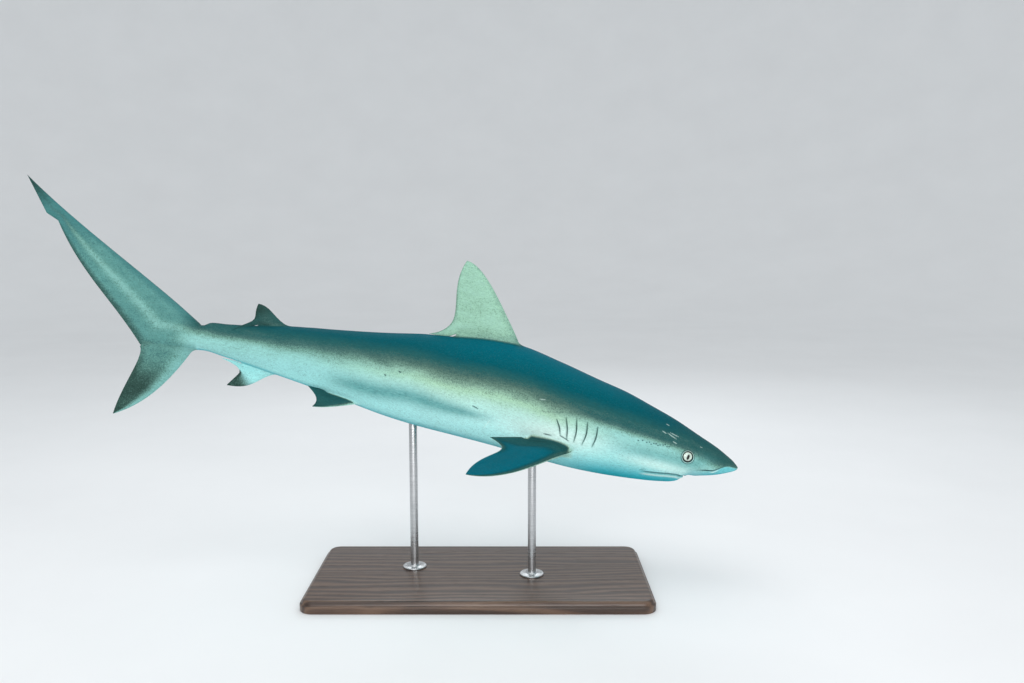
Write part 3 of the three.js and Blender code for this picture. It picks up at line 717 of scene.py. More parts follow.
mouth_knots = MOUTH_FRONT + [[s, math.degrees(flank_angle(s, z))] for s, z in MOUTH_SIDE]
mouth_half = soft_line([[s, a / 10] for s, a in mouth_knots], 90) * [1, 10]
mouth_right = on_skin(mouth_half[:, 0], np.radians(mouth_half[:, 1]), False)
mouth_line = np.concatenate([(mouth_right * [1, -1, 1])[:0:-1], mouth_right])
feature_lines = {"mouth": [mouth_line]}
for name, lines in {"gill": GILL_SLITS, "fold": [LABIAL_FOLD], "nostril": [NOSTRIL], **MARKS}.items():
    count = 5 if name in MARKS else 40
    sides = (False,) if name in ("scratch", "nick") else (False, True)
    feature_lines[name] = [flank_line(knots, count, mirrored) for mirrored in sides for knots in lines]


def eye_axes(side):
    """Place of the pupil on the skin, and the eye's outward, back and up directions."""
    place = trunk_point(EYE["s"], flank_angle(EYE["s"], EYE["z"])) * [1, -side, 1]
    forward, upward = (math.tan(math.radians(EYE[way])) for way in ("forward", "up"))
    out = unit(np.array([-forward, side, upward]))
    up = unit(np.array([0, 0, 1.0]) - out[2] * out)
    return place, out, np.cross(up, out) * -side, up


EYES = {"left": eye_axes(1), "right": eye_axes(-1)}
print({name: len(lines) for name, lines in feature_lines.items()}, "feature lines")

# %% How fine the mesh should be
FINE = {"mouth": 0.8, "gill": 0.8, "fold": 0.8, "nostril": 0.8, "scratch": 1.3, "nick": 1.3, "hole": 1.0}
FINE_BAND = 3.0  # mm to each side of a line
COARSEST = 1000.0  # mm; longer than any edge
COARSENING = 0.34  # how fast the wanted edge length grows with the distance from a line
LONGEST = 1.4  # an edge is cut when it is this many times as long as wanted
MOST_PASSES = 6
HEAD_REACH = 48  # stations past this have no fine features


def nearest_on(line, at):
    """Index of the nearest point of a line, and its distance in mm."""
    gap = np.linalg.norm(at[:, None] - line[None], axis=2) * MM
    index = gap.argmin(axis=1)
    return index, gap[np.arange(len(at)), index]


def wanted_size(at):
    """Edge length wanted at places on the skin, in mm."""
    size = np.full(len(at), COARSEST)
    front = np.nonzero(at[:, 0] < HEAD_REACH)[0]
    for name, lines in feature_lines.items():
        for line in lines:
            box_low, box_high = line.min(axis=0) - 1.5, line.max(axis=0) + 1.5
            close = front[((at[front] > box_low) & (at[front] < box_high)).all(axis=1)]
            gap = nearest_on(line[::2], at[close])[1]
            wanted = FINE[name] + COARSENING * np.maximum(gap - FINE_BAND, 0)
            size[close] = np.minimum(size[close], wanted)
    for place, *_ in EYES.values():
        gap = np.linalg.norm(at[front] - place, axis=1) * MM
        ring_gap = np.maximum(np.abs(gap - EYE["opening"]) - FINE_BAND, 0)
        size[front] = np.minimum(size[front], 0.9 + COARSENING * ring_gap)
    return size


print("finest edge", min(FINE.values()), "mm")


# %% Split the mesh near the lines
def turned_to(first, triangles, mids):
    """Corners and edge middles of triangles, turned so that edge number `first` leads."""
    order = (first[:, None] + np.arange(3)) % 3
    return (*np.take_along_axis(triangles, order, 1).T, *np.take_along_axis(mids, order, 1).T)


def split_once(points, chart, triangles):
    """Splits every edge that is longer than wanted, and the triangles on it, without leaving a gap."""
    edges = np.sort(triangles[:, [[0, 1], [1, 2], [2, 0]]].reshape(-1, 2), axis=1)
    edges, edge_of = np.unique(edges, axis=0, return_inverse=True)
    a, b = edges.T
    length = np.linalg.norm(points[a] - points[b], axis=1) * MM
    on_trunk = ~np.isnan(chart[a, 0]) & ~np.isnan(chart[b, 0])
    wanted = wanted_size((points[a] + points[b]) / 2)
    cut = np.nonzero((length > LONGEST * wanted) & on_trunk)[0]
    turn = chart[b[cut]] - chart[a[cut]]
    turn[:, 1] = np.mod(turn[:, 1] + np.pi, 2 * np.pi) - np.pi
    middle = chart[a[cut]] + turn / 2
    grown = np.concatenate([points, trunk_point(middle[:, 0], middle[:, 1])])
    number = np.full(len(edges), -1)
    number[cut] = len(points) + np.arange(len(cut))
    mids = number[edge_of.reshape(-1, 3)]
    none, one, two, three = ((mids >= 0).sum(axis=1) == count for count in range(4))
    # One cut edge leads; of two, the first leads, and the four-sided rest is cut along its shorter line.
    p, q, r, m, _, _ = turned_to((mids[one] >= 0).argmax(axis=1), triangles[one], mids[one])
    made = [(p, m, r), (m, q, r)]
    p, q, r, m, n, _ = turned_to((mids[two] < 0).argmax(axis=1) + 1, triangles[two], mids[two])
    short = np.linalg.norm(grown[m] - grown[r], axis=1) < np.linalg.norm(grown[p] - grown[n], axis=1)
    made += [(m, q, n), (p, m, np.where(short, r, n)), (np.where(short, m, p), n, r)]
    (p, q, r), (m, n, o) = triangles[three].T, mids[three].T
    made += [(p, m, o), (m, q, n), (o, n, r), (m, n, o)]
    made = [triangles[none]] + [np.stack(corners, 1) for corners in made]
    return grown, np.concatenate([chart, middle]), np.concatenate(made), len(cut)


for step in range(MOST_PASSES):
    points, chart, triangles, cuts = split_once(points, chart, triangles)
    print("pass", step + 1, "cut", cuts, "edges:", len(triangles), "triangles")
    if cuts == 0:
        break

# %% [markdown]
# ## Carved detail
# On the real fish the mouth, slits and nostrils are cuts and soft flaps of skin a few millimetres
# deep. A bump map would look flat from the side, so they are carved: every point near a line is moved
# along its normal by a depth that depends on its distance across the line. Each cut is a narrow
# groove between two soft rolls, and it fades out at its ends.

# %% Helpers for carving
def outward_normals(points, triangles):
    """Normals of the straight body, which is a mirror image of the bent one."""
    corners = points[triangles]
    face = np.cross(corners[:, 2] - corners[:, 0], corners[:, 1] - corners[:, 0])
    total = [np.bincount(triangles.ravel(), np.repeat(column, 3), len(points)) for column in face.T]
    return unit(np.stack(total, 1))


def beside(line, reach):
    """Points near a line, their distance to one side in mm, share of its run, and mm past its ends."""
    low, high = line.min(axis=0) - reach / MM, line.max(axis=0) + reach / MM
    near = np.nonzero(((points > low) & (points < high)).all(axis=1) & on_trunk)[0]
    index, gap = nearest_on(line, points[near])
    near, index = near[gap < reach], index[gap < reach]
    tangent = unit(np.gradient(line, axis=0)[index])
    delta = (points[near] - line[index]) * MM
    across = np.cross(normals[near], tangent)
    at_end = (index == 0) | (index == len(line) - 1)
    past_end = np.where(at_end, np.abs((delta * tangent).sum(axis=1)), 0)
    return near, (delta * across).sum(axis=1), index / (len(line) - 1), past_end


def hill(x, centre, width):
    return np.exp(-(((x - centre) / width) ** 2))


def raise_to(values, near, wanted):
    """Lifts some points' values to what is wanted there, where they are lower."""
    values[near] = np.maximum(values[near], wanted)


normals = outward_normals(points, triangles)
on_trunk = ~np.isnan(chart[:, 0])
rise, crease, pale = (np.zeros(len(points)) for _ in range(3))  # rise in mm, the others from 0 to 1
print(int(on_trunk.sum()), "points on the trunk can be carved")

# %% Carve the mouth and the gill slits
near, x, run, past = beside(mouth_line, 16)
fade = 1 - ease(np.abs(2 * run - 1), 0.88, 1)
rise[near] += fade * (0.9 * hill(x, 5, 2.6) + 1.4 * hill(x, -5.6, 3.0) - 8 * hill(x, 0, 2.2))
# Painted shade darkens the mouth's groove; the paler band below it is the lower jaw's own colour.
raise_to(crease, near, fade * hill(x, 0.3, 3.1))
raise_to(pale, near, 0.9 * fade * hill(x, -8.5, 4.0))

for i, line in enumerate(feature_lines["gill"]):
    near, x, run, past = beside(line, 12)
    x = x if i < len(GILL_SLITS) else -x
    fade = np.sqrt(np.clip(np.sin(np.pi * run), 0, 1)) * hill(past, 0, 1.5)
    rise[near] += fade * (1.6 * hill(x, -3.4, 2.8) - 1.1 * hill(x, 3, 2.6) - 6 * hill(x, 0.3, 1.2))
    # Painted shade darkens each slit and a strip of skin beside it.
    raise_to(crease, near, fade * (0.85 * hill(x, 0.3, 1.2) + 0.2 * hill(x, 2.5, 2.4)))
print("mouth and gills reach", round(float(rise.min()), 1), "mm deep")

# %% Carve the lip folds, nostrils and small marks
for line in feature_lines["fold"]:
    near, x, run, past = beside(line, 8)
    fade = np.sin(np.pi * run) * hill(past, 0, 1.5)
    rise[near] += fade * (0.7 * hill(x, -2.6, 2) + 0.7 * hill(x, 2.6, 2) - 2.2 * hill(x, 0, 1.1))
    # Painted shade darkens the fold's groove.
    raise_to(crease, near, 0.6 * fade * hill(x, 0, 1.2))

for i, line in enumerate(feature_lines["nostril"]):
    near, x, run, past = beside(line, 12)
    x = x if i == 0 else -x
    fade = np.clip(np.sin(np.pi * run), 0, 1) ** 0.6 * hill(past, 0, 1.5)
    fade *= 1 - 0.6 * ease(run, 0.62, 0.9)
    pit = hill(run, 0.36, 0.11) * hill(x, 0.4, 2.0)
    flap = ease(run, 0.4, 0.52) * (1 - ease(run, 0.58, 0.74)) * hill(x, 2.6, 1.7)
    flap += 0.9 * hill(run, 0.5, 0.06) * hill(x, 4.5, 1.8)
    rise[near] += fade * (1.7 * flap - 2.4 * hill(x, 0, 1.2) - 3.6 * pit)
    # Painted shade darkens the nostril's groove and pit.
    raise_to(crease, near, fade * np.clip(0.85 * hill(x, 0, 1.2) + pit, 0, 1))
    raise_to(pale, near, fade * 0.5 * flap)

MARK_SHAPES = {  # depth and half width in mm, what it colours and how strongly
    "scratch": (-0.3, 1.0, pale, 0.6), "nick": (-1.2, 1.6, crease, 0.9), "hole": (-1.4, 1.5, crease, 0.9)}
for name, (depth, width, coloured, strength) in MARK_SHAPES.items():
    for line in feature_lines[name]:
        near, x, run, past = beside(line, 6)
        spot = hill(x, 0, width) * hill(past, 0, width)
        rise[near] += depth * spot
        raise_to(coloured, near, strength * spot)
print({name: len(feature_lines[name]) for name in MARK_SHAPES}, "marks")

# %% Carve the eye sockets and the back
# A pit behind the eyeball, a raised lid and a shallow fold around it.
for place, out, back_way, up in EYES.values():
    delta = (points - place) * MM
    off = np.hypot(delta @ back_way, delta @ up)
    near = np.nonzero((off < 30) & (np.abs(delta @ out) < 15) & on_trunk)[0]
    r = off[near] - EYE["opening"]
    pit = -11 * ease(-r, 0, 2.6)
    rise[near] += pit + 1.2 * hill(r, 1.0, 1.3) - 0.9 * hill(r, 4.2, 1.5) + 0.4 * hill(r, 8, 3)
    raise_to(pale, near, 0.5 * hill(r, 1.0, 0.8))
    # Painted shade darkens the socket round the eyeball and the groove outside the lid.
    raise_to(crease, near, np.maximum(ease(-r, -0.3, 0.8), 0.8 * hill(r, 2.8, 1.1)))

# The low ridge between the dorsal fins and the small pit before the tail.
s_all, y_all, z_all = points.T
on_top = on_trunk & (normals[:, 2] > 0.6)
rise += 1.8 * on_top * hill(y_all, 0, 0.3) * ease(s_all, 41, 44) * (1 - ease(s_all, 58, 61))
rise -= 4.0 * on_top * hill(s_all, 73.0, 0.5) * hill(y_all, 0, 1.1)

straight = points.copy()
points = points + normals * (rise / MM)[:, None]
print("carved from", round(float(rise.min()), 1), "to", round(float(rise.max()), 1), "mm")

# %% [markdown]
# ## Where each colour goes
# The shark is dark above and pale below, and the border between the two runs along the flank. Each
# point gets its `tone`: its height over that border, in per cent of length. Fins have tones of their
# own that fade into the body's at their roots. The material turns tone into colour later, so that a
# change of paint never needs a change of mesh.

# %% Tone and shade of the body
TONE_LOW, TONE_HIGH = -7.0, 5.0
BORDER = smooth([
    [0, -0.45], [2, -0.35], [4, 0.0], [6, 0.4], [9, 0.8], [12, 1.0], [16, 1.2], [24, 1.7], [28, 2.2],
    [33, 2.2], [38, 1.9], [43, 2.0], [48, 1.6], [53, 1.3], [58, 1.05], [63, 0.85], [68, 0.9], [72, 1.0],
    [76, 1.2], [100, 1.2]])
SNOUT_LINE = smooth([
    [0, -0.12], [0.6, -0.02], [1.3, 0.04], [2.0, 0.0], [2.75, -0.42], [3.45, -0.88], [5, -1.2]])
STREAK = smooth([[26, -1.6], [33, -1.9], [38, -2.0], [43, -1.8], [48, -2.2], [53, -2.1], [60, -1.9]])

# The border is sharper on the head and near the tail, and the snout is pale below its own line.
sharper = 1 + 1.3 * ease(s_all, 7, 10) * (1 - ease(s_all, 17, 24))
sharper += 1.0 * hill(s_all, 5, 3.5) + 0.6 * ease(s_all, 60, 66)
tone = z_all - BORDER(s_all)
tone = np.clip(tone * sharper, np.minimum(tone, -1.2), np.maximum(tone, 1.2))
snout_pale = ease(SNOUT_LINE(s_all) - z_all, -0.08, 0.16) * (1 - ease(s_all, 3.6, 4.6))
tone = tone * (1 - snout_pale) - 3.0 * snout_pale

# A grey veil lies on the streak over the belly, on the cheek and before the eye.
veil = hill(z_all, STREAK(s_all), 0.6 + 0.6 * ease(s_all, 33, 42)) * ease(s_all, 29, 36) * (
    1 - ease(s_all, 50, 58))
veil += 0.62 * hill(z_all, -0.75, 0.8) * (1 - ease(s_all, 12, 19)) * ease(s_all, 4, 6)
veil += 0.45 * hill(z_all, 0.1, 0.6) * hill(s_all, 4.8, 1.4)
pale = np.maximum(pale, 0.85 * hill(s_all, 23.5, 6.0) * hill(z_all, -1.5 + 0.06 * (21.5 - s_all), 1.4))
pale = np.maximum(pale, 0.6 * hill(s_all, 9.5, 5.0) * hill(z_all, -2.0, 0.7))

# Light thrown up from the sand tints what faces down.
down = -normals[:, 2]
under = np.maximum(0.75 * ease(down, 0.66, 0.98), ease(down, 0.3, 0.9) * (1 - ease(s_all, 15, 28)))
under = np.maximum(under, 0.55 * snout_pale)
dusk = np.zeros(len(points))
print("body tone from", round(float(tone.min()), 1), "to", round(float(tone.max()), 1))


# %% Tone and shade of the fins
def lobe_tone(u):
    return 0.2 - 1.2 * (1 - ease(u, 0.0, 0.45))


def fin_paint(name, u, v, up):
    """Tone, dusky paint and paleness over a fin, by share of chord, share of span, and 1 on upper faces.
    """
    front, rear, none = 1 - ease(u, 0, 0.12), ease(u, 0.8, 1), np.zeros_like(u)
    if name == "dorsal_fin_first":
        tone_here = -1.35 + 0.5 * front + 0.85 * hill(v, 0, 0.1)
        return tone_here, 0.45 * ease(u, 0.92, 1) + 0.15 * ease(v, 0.9, 1), none
    if name == "dorsal_fin_second":
        tone_here = 1.3 - 0.9 * hill(u, 0.35, 0.25) * (1 - v)
        return tone_here, 0.3 + 0.6 * ease(v, 0.35, 0.95) + 0.1 * rear, none
    if name == "anal_fin":
        edge = ease(u, 0.72, 0.98) * ease(v, 0.25, 0.5)
        dusk_here = np.clip(0.95 * ease(v, 0.4, 0.8) + 0.8 * edge, 0, 1)
        return -4.2 + 4.2 * ease(v, 0.4, 0.75), dusk_here, none
    if name.startswith("pectoral"):
        rim = np.maximum(1 - ease(u, 0.01, 0.1), ease(u, 0.8, 0.97) * (1 - ease(v, 0.25, 0.5)))
        rim = np.maximum(rim, 0.8 * (1 - ease(v, 0.1, 0.22)))
        tone_here = (4.8 - 3.7 * rim) * up + (-2.0 + 0.8 * rear) * (1 - up)
        dusk_here = 0.15 * up * rim + (1 - up) * 0.8 * ease(v, 0.75, 1)
        return tone_here, dusk_here, 0.8 * ease(u, 0.985, 1) * ease(v, 0.2, 0.4)
    if name.startswith("pelvic"):
        tone_here = (1.6 - 1.6 * front) * up - 2.0 * (1 - up)
        return tone_here, (0.2 + 0.3 * ease(v, 0.5, 1)) * up, none
    dusk_here = 0.9 * ease(v, 0.1, 0.6) * ease(u, 0.05, 0.4) + 0.35 * rear
    return lobe_tone(u), np.clip(dusk_here, 0, 0.9), none


def own_paint(name, u, height):
    """How far a fin's own paint has taken over from the body's."""
    if name == "caudal_fin_lower":
        return np.ones_like(u)
    if name.startswith("pectoral"):
        rear = ease(u, 0.84, 0.98)
        return ease(height, 0.1 + 0.5 * rear, 0.6 + 0.45 * rear)
    return ease(height, 0.1, 1.2 if name.startswith(("pelvic", "anal")) else 0.9)


def plane_up(index):
    """1 on the upper face of a drooping fin and 0 on its lower face, told by the fin's own plane."""
    cloud = straight[index] - straight[index].mean(axis=0)
    upward = np.linalg.svd(cloud, full_matrices=False)[2][2]
    return ease(normals[index] @ (upward * np.sign(upward[2])), -0.2, 0.2)


for name, first, u, v, rise_share in fin_notes:
    u, v, rise_share = (np.ravel(part) for part in (u, v, rise_share))
    index = first + np.arange(len(u))
    is_pectoral = name.startswith("pectoral")
    up = plane_up(index) if is_pectoral else ease(normals[index, 2], -0.25, 0.25)
    fin_tone, fin_dusk_and_root_shade, fin_pale = fin_paint(name, u, v, up)
    if is_pectoral:
        # Painted shade where the pectoral fin's root meets the body, on the fin's upper face.
        fillet = hill(rise_share, 0.75, 0.5) * (1 - ease(v - v.min(), 0.0, 0.06))
        fin_dusk_and_root_shade = np.maximum(fin_dusk_and_root_shade, 0.45 * fillet * up)
    settled = own_paint(name, u, rise_share + (v - v.min()) / 0.1)
    tone[index] = np.clip(tone[index], TONE_LOW, 3.5) * (1 - settled) + fin_tone * settled
    dusk[index] = fin_dusk_and_root_shade * settled
    for values in (pale, veil, under):
        values[index] *= 1 - settled
    raise_to(pale, index, fin_pale)
    if name == "dorsal_fin_first":
        veil[index] = 0.2 * settled
    if name == "caudal_fin_lower":
        raise_to(veil, index, 0.35 * (1 - fin_dusk_and_root_shade))
print("painted", len(fin_notes), "fins")

# %% Tone and shade of the tail
# A muscle band above, a painted highlight along the ridge below it, then a thinner web with a dusky edge.
rows = slice(trunk_count, trunk_count + tail_u.size)
u, share = tail_u.ravel(), tail_share.ravel()
fork = TAIL["fork_share"]
# The ridge is a painted highlight: it pales the tone and thins the veil along the muscle band's lower
# edge.
ridge = hill(u, 0.5 - 0.2 * (1 - ease(share, 0, fork)), 0.11) * (1 - ease(share, 0.7, 0.95))
web_tone = 1.0 - 0.85 * ease(u, 0, 0.16) - 0.75 * ridge
web_tone += 0.9 * ease(share, 0.55, 0.8) + ease(share, 0.86, 1)
low = ease(u, 0.62, 0.95) * (1 - ease(share, 0.6 * fork, 1.1 * fork))
web_tone = web_tone * (1 - low) + lobe_tone(share / fork) * low
web_dusk = 0.75 * ease(u, 0.8, 0.97) * (1 - low) * (1 - ease(share, 0.65, 0.85))
web_dusk += 0.8 * ease(share, 0.8, 0.96)
settled = ease(share, 0.0, 0.75 * fork) * (1 - low) + low
tone[rows] = tone[rows] * (1 - settled) + web_tone * settled
dusk[rows] = settled * np.clip(web_dusk, 0, 1)
veil[rows] = veil[rows] * (1 - settled) + 0.55 * settled * (1 - 0.7 * ridge)
under[rows] *= 1 - ease(share, 0.0, 0.5 * fork)
tone = np.clip(tone, TONE_LOW, TONE_HIGH)
print("tone from", round(float(tone.min()), 1), "to", round(float(tone.max()), 1))

# %% Make the skin's mesh
# Points of the grid inside an opening belong to no face and are left out.
used = np.unique(triangles)
renumber = np.full(len(points), -1)
renumber[used] = np.arange(len(used))


def mesh_object(name, points, faces, smooth_faces=True):
    """A mesh object in metres, from an array of points and an array or list of faces."""
    mesh = bpy.data.meshes.new(name)
    mesh.from_pydata(points.tolist(), [], [list(map(int, face)) for face in faces])
    mesh.polygons.foreach_set("use_smooth", [smooth_faces] * len(mesh.polygons))
    mesh.update()
    made = bpy.data.objects.new(name, mesh)
    bpy.context.scene.collection.objects.link(made)
    return made


def set_attribute(piece, name, values):
    """Stores one number or one vector per point."""
    kind, key = ("FLOAT_VECTOR", "vector") if values.ndim == 2 else ("FLOAT", "value")
    attribute = piece.data.attributes.new(name, kind, "POINT")
    attribute.data.foreach_set(key, np.ascontiguousarray(values, np.float32).ravel())


skin = mesh_object("shark_skin", bend(points)[used], renumber[triangles])
skin_values = {"tone": tone, "dusk": dusk, "veil": veil, "pale": pale, "crease": crease, "under": under,
               "straight": straight}
for name, values in skin_values.items():
    set_attribute(skin, name, values[used])
print("skin:", len(skin.data.vertices), "points,", len(skin.data.polygons), "triangles")

# %% [markdown]
# ## Paint and finish
# The materials are built from nodes. A small helper makes a node and wires its inputs in one call.
# Two effects are shared by several finishes, so each is a node group: `soft_patches`, a slow change
# of tone, and `fine_grain`, a sharp speckle. The groups give plain values, and each material uses
# them for colour, roughness and height at its own scale.

# %% Node helpers
def node(tree, kind, inputs=None, **settings):
    """A node with its settings made and its inputs wired or set."""
    made = tree.nodes.new(kind)
    for key, value in settings.items():
        setattr(made, key, value)
    feed(tree, made, inputs or {})
    return made


def feed(tree, made, inputs):
    for key, value in inputs.items():
        socket = made.inputs[key]
        if isinstance(value, bpy.types.NodeSocket):
            tree.links.new(value, socket)
        else:
            socket.default_value = value


def math_node(tree, operation, *values, clamp=False):
    made = node(tree, "ShaderNodeMath", dict(enumerate(values)), operation=operation, use_clamp=clamp)
    return made.outputs[0]


def vector_node(tree, operation, *values, output=0):
    made = node(tree, "ShaderNodeVectorMath", dict(enumerate(values)), operation=operation)
    return made.outputs[output]


def spread(tree, value, low, high, to_low=0.0, to_high=1.0):
    """A value's range stretched to another, and held inside it."""
    made = node(tree, "ShaderNodeMapRange", {
        "Value": value, "From Min": low, "From Max": high, "To Min": to_low, "To Max": to_high})
    return made.outputs["Result"]


def stretched(tree, place, scale, turn=(0, 0, 0)):
    """A place turned, and stretched along each axis."""
    return node(tree, "ShaderNodeMapping", {"Vector": place, "Rotation": turn, "Scale": scale}).outputs[0]


def bumpy(tree, height, strength, distance):
    made = node(tree, "ShaderNodeBump", {"Height": height, "Strength": strength, "Distance": distance})
    return made.outputs["Normal"]


def attribute(tree, name, output="Fac"):
    return node(tree, "ShaderNodeAttribute", attribute_name=name).outputs[output]


# %% Colour helpers
def paint(red, green, blue):
    """A paint colour given as it looks on a screen, 0 to 255."""
    screen = [channel / 255 for channel in (red, green, blue)]
    return (*(c / 12.92 if c <= 0.04 else ((c + 0.055) / 1.055) ** 2.4 for c in screen), 1)


def blend_colour(tree, share, first, second, kind="MIX"):
    made = node(tree, "ShaderNodeMix", {0: share, 6: first, 7: second}, data_type="RGBA", blend_type=kind)
    return made.outputs[2]


def coats(tree, colour, layers):
    """A colour under coats of paint, each a share and a screen colour."""
    for share, screen_colour in layers:
        colour = blend_colour(tree, share, colour, paint(*screen_colour))
    return colour


def ramp(tree, value, stops):
    """A value turned into colour by stops, each a place from 0 to 1 and a screen colour."""
    made = node(tree, "ShaderNodeValToRGB", {"Fac": value})
    band = made.color_ramp
    band.elements.remove(band.elements[-1])
    for i, (place, screen_colour) in enumerate(stops):
        element = band.elements[0] if i == 0 else band.elements.new(place)
        element.position = place
        element.color = paint(*screen_colour)
    return made.outputs["Color"]


def new_material(name):
    material = bpy.data.materials.new(name)
    material.use_nodes = True
    tree = material.node_tree
    return material, tree, tree.nodes["Principled BSDF"]


print("a screen's middle grey is", [round(c, 3) for c in paint(128, 128, 128)])

# %% Shared node groups
NUMBER, VECTOR = "NodeSocketFloat", "NodeSocketVector"


def group(name, inputs, outputs):
    """A node group with number outputs; returns its tree, input node and output node."""
    tree = bpy.data.node_groups.new(name, "ShaderNodeTree")
    for label, kind in inputs.items():
        tree.interface.new_socket(label, in_out="INPUT", socket_type=kind)
    for label in outputs:
        tree.interface.new_socket(label, in_out="OUTPUT", socket_type=NUMBER)
    return tree, tree.nodes.new("NodeGroupInput").outputs, tree.nodes.new("NodeGroupOutput")


patch_group, given, result = group(
    "soft_patches", {"Place": VECTOR, "Scale": NUMBER, "Detail": NUMBER}, ["Patches"])
cloud = node(patch_group, "ShaderNodeTexNoise", {
    "Vector": given["Place"], "Scale": given["Scale"], "Detail": given["Detail"], "Roughness": 0.55})
feed(patch_group, result, {"Patches": spread(patch_group, cloud.outputs["Fac"], 0.25, 0.75, -1, 1)})

grain_group, given, result = group(
    "fine_grain", {"Place": VECTOR, "Scale": NUMBER, "Amount": NUMBER}, ["Grain", "Specks"])
grain = node(grain_group, "ShaderNodeTexNoise", {
    "Vector": given["Place"], "Scale": given["Scale"], "Detail": 2.0, "Roughness": 0.7}).outputs["Fac"]
for label, signal in (("Grain", spread(grain_group, grain, 0.3, 0.7, -1, 1)),
                      ("Specks", spread(grain_group, grain, 0.6, 0.68))):
    feed(grain_group, result, {label: math_node(grain_group, "MULTIPLY", signal, given["Amount"])})


def use_group(tree, source, **values):
    return node(tree, "ShaderNodeGroup", values, node_tree=source).outputs


print(len(bpy.data.node_groups), "shared node groups")

# %% The skin's colours
DARK_STOPS = [(1.4, (36, 86, 86)), (2.4, (0, 80, 90)), (3.4, (0, 88, 101)), (5.0, (0, 97, 114))]
FRONT_STOPS = [
    (-7.0, (170, 232, 232)), (-4.2, (178, 230, 226)), (-2.4, (172, 214, 202)), (-1.2, (158, 198, 170)),
    (-0.5, (126, 160, 142)), (0.0, (96, 126, 112)), (0.6, (72, 102, 94)), *DARK_STOPS]
REAR_STOPS = [
    (-7.0, (160, 232, 232)), (-4.2, (160, 224, 222)), (-2.4, (150, 208, 206)), (-1.2, (142, 196, 190)),
    (-0.5, (126, 174, 164)), (0.0, (100, 142, 130)), (0.6, (66, 102, 98)), *DARK_STOPS]
SAND_LIGHT_COLOUR, VEIL_COLOUR, DUSK_AND_ROOT_SHADE_COLOUR = (30, 172, 188), (84, 148, 148), (42, 64, 58)
PALE_COLOUR, SPECK_COLOUR, GROOVE_SHADE_AND_MARK_COLOUR = (214, 240, 232), (60, 84, 78), (8, 54, 60)
DAPPLE_LOW, DAPPLE_HIGH = 0.76, 1.14  # darkest and lightest change of the colour by the dapple

skin_paint, tree, shader = new_material("shark_skin_paint")
straight_place = attribute(tree, "straight", "Vector")
streaky = stretched(tree, straight_place, (0.35, 1, 1))
slow = use_group(tree, patch_group, Place=streaky, Scale=0.9, Detail=4.0)[0]
quick = use_group(tree, patch_group, Place=streaky, Scale=5.0, Detail=3.0)[0]
specks = use_group(tree, grain_group, Place=straight_place, Scale=6.5, Amount=1.0)

shifted = attribute(tree, "tone")
for signal, amount in ((slow, 0.22), (quick, 0.12), (specks["Grain"], 0.4)):
    shifted = math_node(tree, "MULTIPLY_ADD", signal, amount, shifted)
place_on_ramp = spread(tree, shifted, TONE_LOW, TONE_HIGH)
front_colour, rear_colour = (
    ramp(tree, place_on_ramp, [((at - TONE_LOW) / (TONE_HIGH - TONE_LOW), c) for at, c in stops])
    for stops in (FRONT_STOPS, REAR_STOPS))
station = node(tree, "ShaderNodeSeparateXYZ", {"Vector": straight_place}).outputs["X"]
warm = math_node(tree, "MULTIPLY", spread(tree, station, 16, 24), spread(tree, station, 58, 40))
colour = blend_colour(tree, warm, rear_colour, front_colour)
print("stops from the belly up:", [at for at, _ in FRONT_STOPS])

# %% The skin's shades and finish
veil_share = math_node(tree, "MULTIPLY", attribute(tree, "veil"), spread(tree, quick, -1, 1, 0.75, 1.0))
# Dusky paint of the fins, and painted shade at the pectoral fins' roots.
grained_dusk_and_root_shade = math_node(tree, "MULTIPLY_ADD", specks["Grain"], 0.22, attribute(tree, "dusk"))
dusk_and_root_shade_share = math_node(tree, "MULTIPLY_ADD", slow, 0.1, grained_dusk_and_root_shade, clamp=True)
speck_share = math_node(tree, "MULTIPLY", specks["Specks"], 0.27)
colour = coats(tree, colour, [
    # Painted light: a cyan tint of the light thrown up from the sand, on what faces down.
    (attribute(tree, "under"), SAND_LIGHT_COLOUR), (veil_share, VEIL_COLOUR), (dusk_and_root_shade_share, DUSK_AND_ROOT_SHADE_COLOUR),
    (attribute(tree, "pale"), PALE_COLOUR), (speck_share, SPECK_COLOUR),
    # Painted shade in the grooves of mouth, gills, folds, nostrils and eye sockets, and the real dark
    # nicks and pores.
    (attribute(tree, "crease"), GROOVE_SHADE_AND_MARK_COLOUR)])
dapple = use_group(tree, grain_group, Place=streaky, Scale=6.0, Amount=1.0)["Grain"]
light_share = math_node(tree, "MULTIPLY_ADD", specks["Grain"], 0.8, dapple)
light_change = spread(tree, light_share, -1.8, 1.8, DAPPLE_LOW, DAPPLE_HIGH)
colour = blend_colour(tree, 1.0, colour, light_change, "MULTIPLY")

# Skin teeth: tiny scales a millimetre or two long, felt more than seen.
scales = node(tree, "ShaderNodeTexVoronoi", {"Vector": streaky, "Scale": 14.0}).outputs["Distance"]
fine_grain = use_group(tree, grain_group, Place=straight_place, Scale=14.0, Amount=1.0)["Grain"]
feed(tree, shader, {
    "Base Color": colour, "Roughness": spread(tree, quick, -1, 1, 0.58, 0.72), "Specular IOR Level": 0.05,
    "Specular Tint": (0.42, 0.92, 1.0, 1),
    "Normal": bumpy(tree, math_node(tree, "MULTIPLY_ADD", scales, 0.5, fine_grain), 0.25, 0.0006)})
skin.data.materials.append(skin_paint)
print("skin paint has", len(tree.nodes), "nodes")

# %% [markdown]
# ## Glass eyes
# A model maker buys a glass eye: a clear dome over a painted iris with an upright, slightly slanted
# slit for a pupil. It is turned here as a flattened ball that sits in the carved socket, so that the
# lids close over its edge as they do on the real fish. The paint reads each point's place on the eye in
# millimetres, so iris, dark rim and pupil stay crisp at any mesh density, and a clear coat gives the
# wet shine.

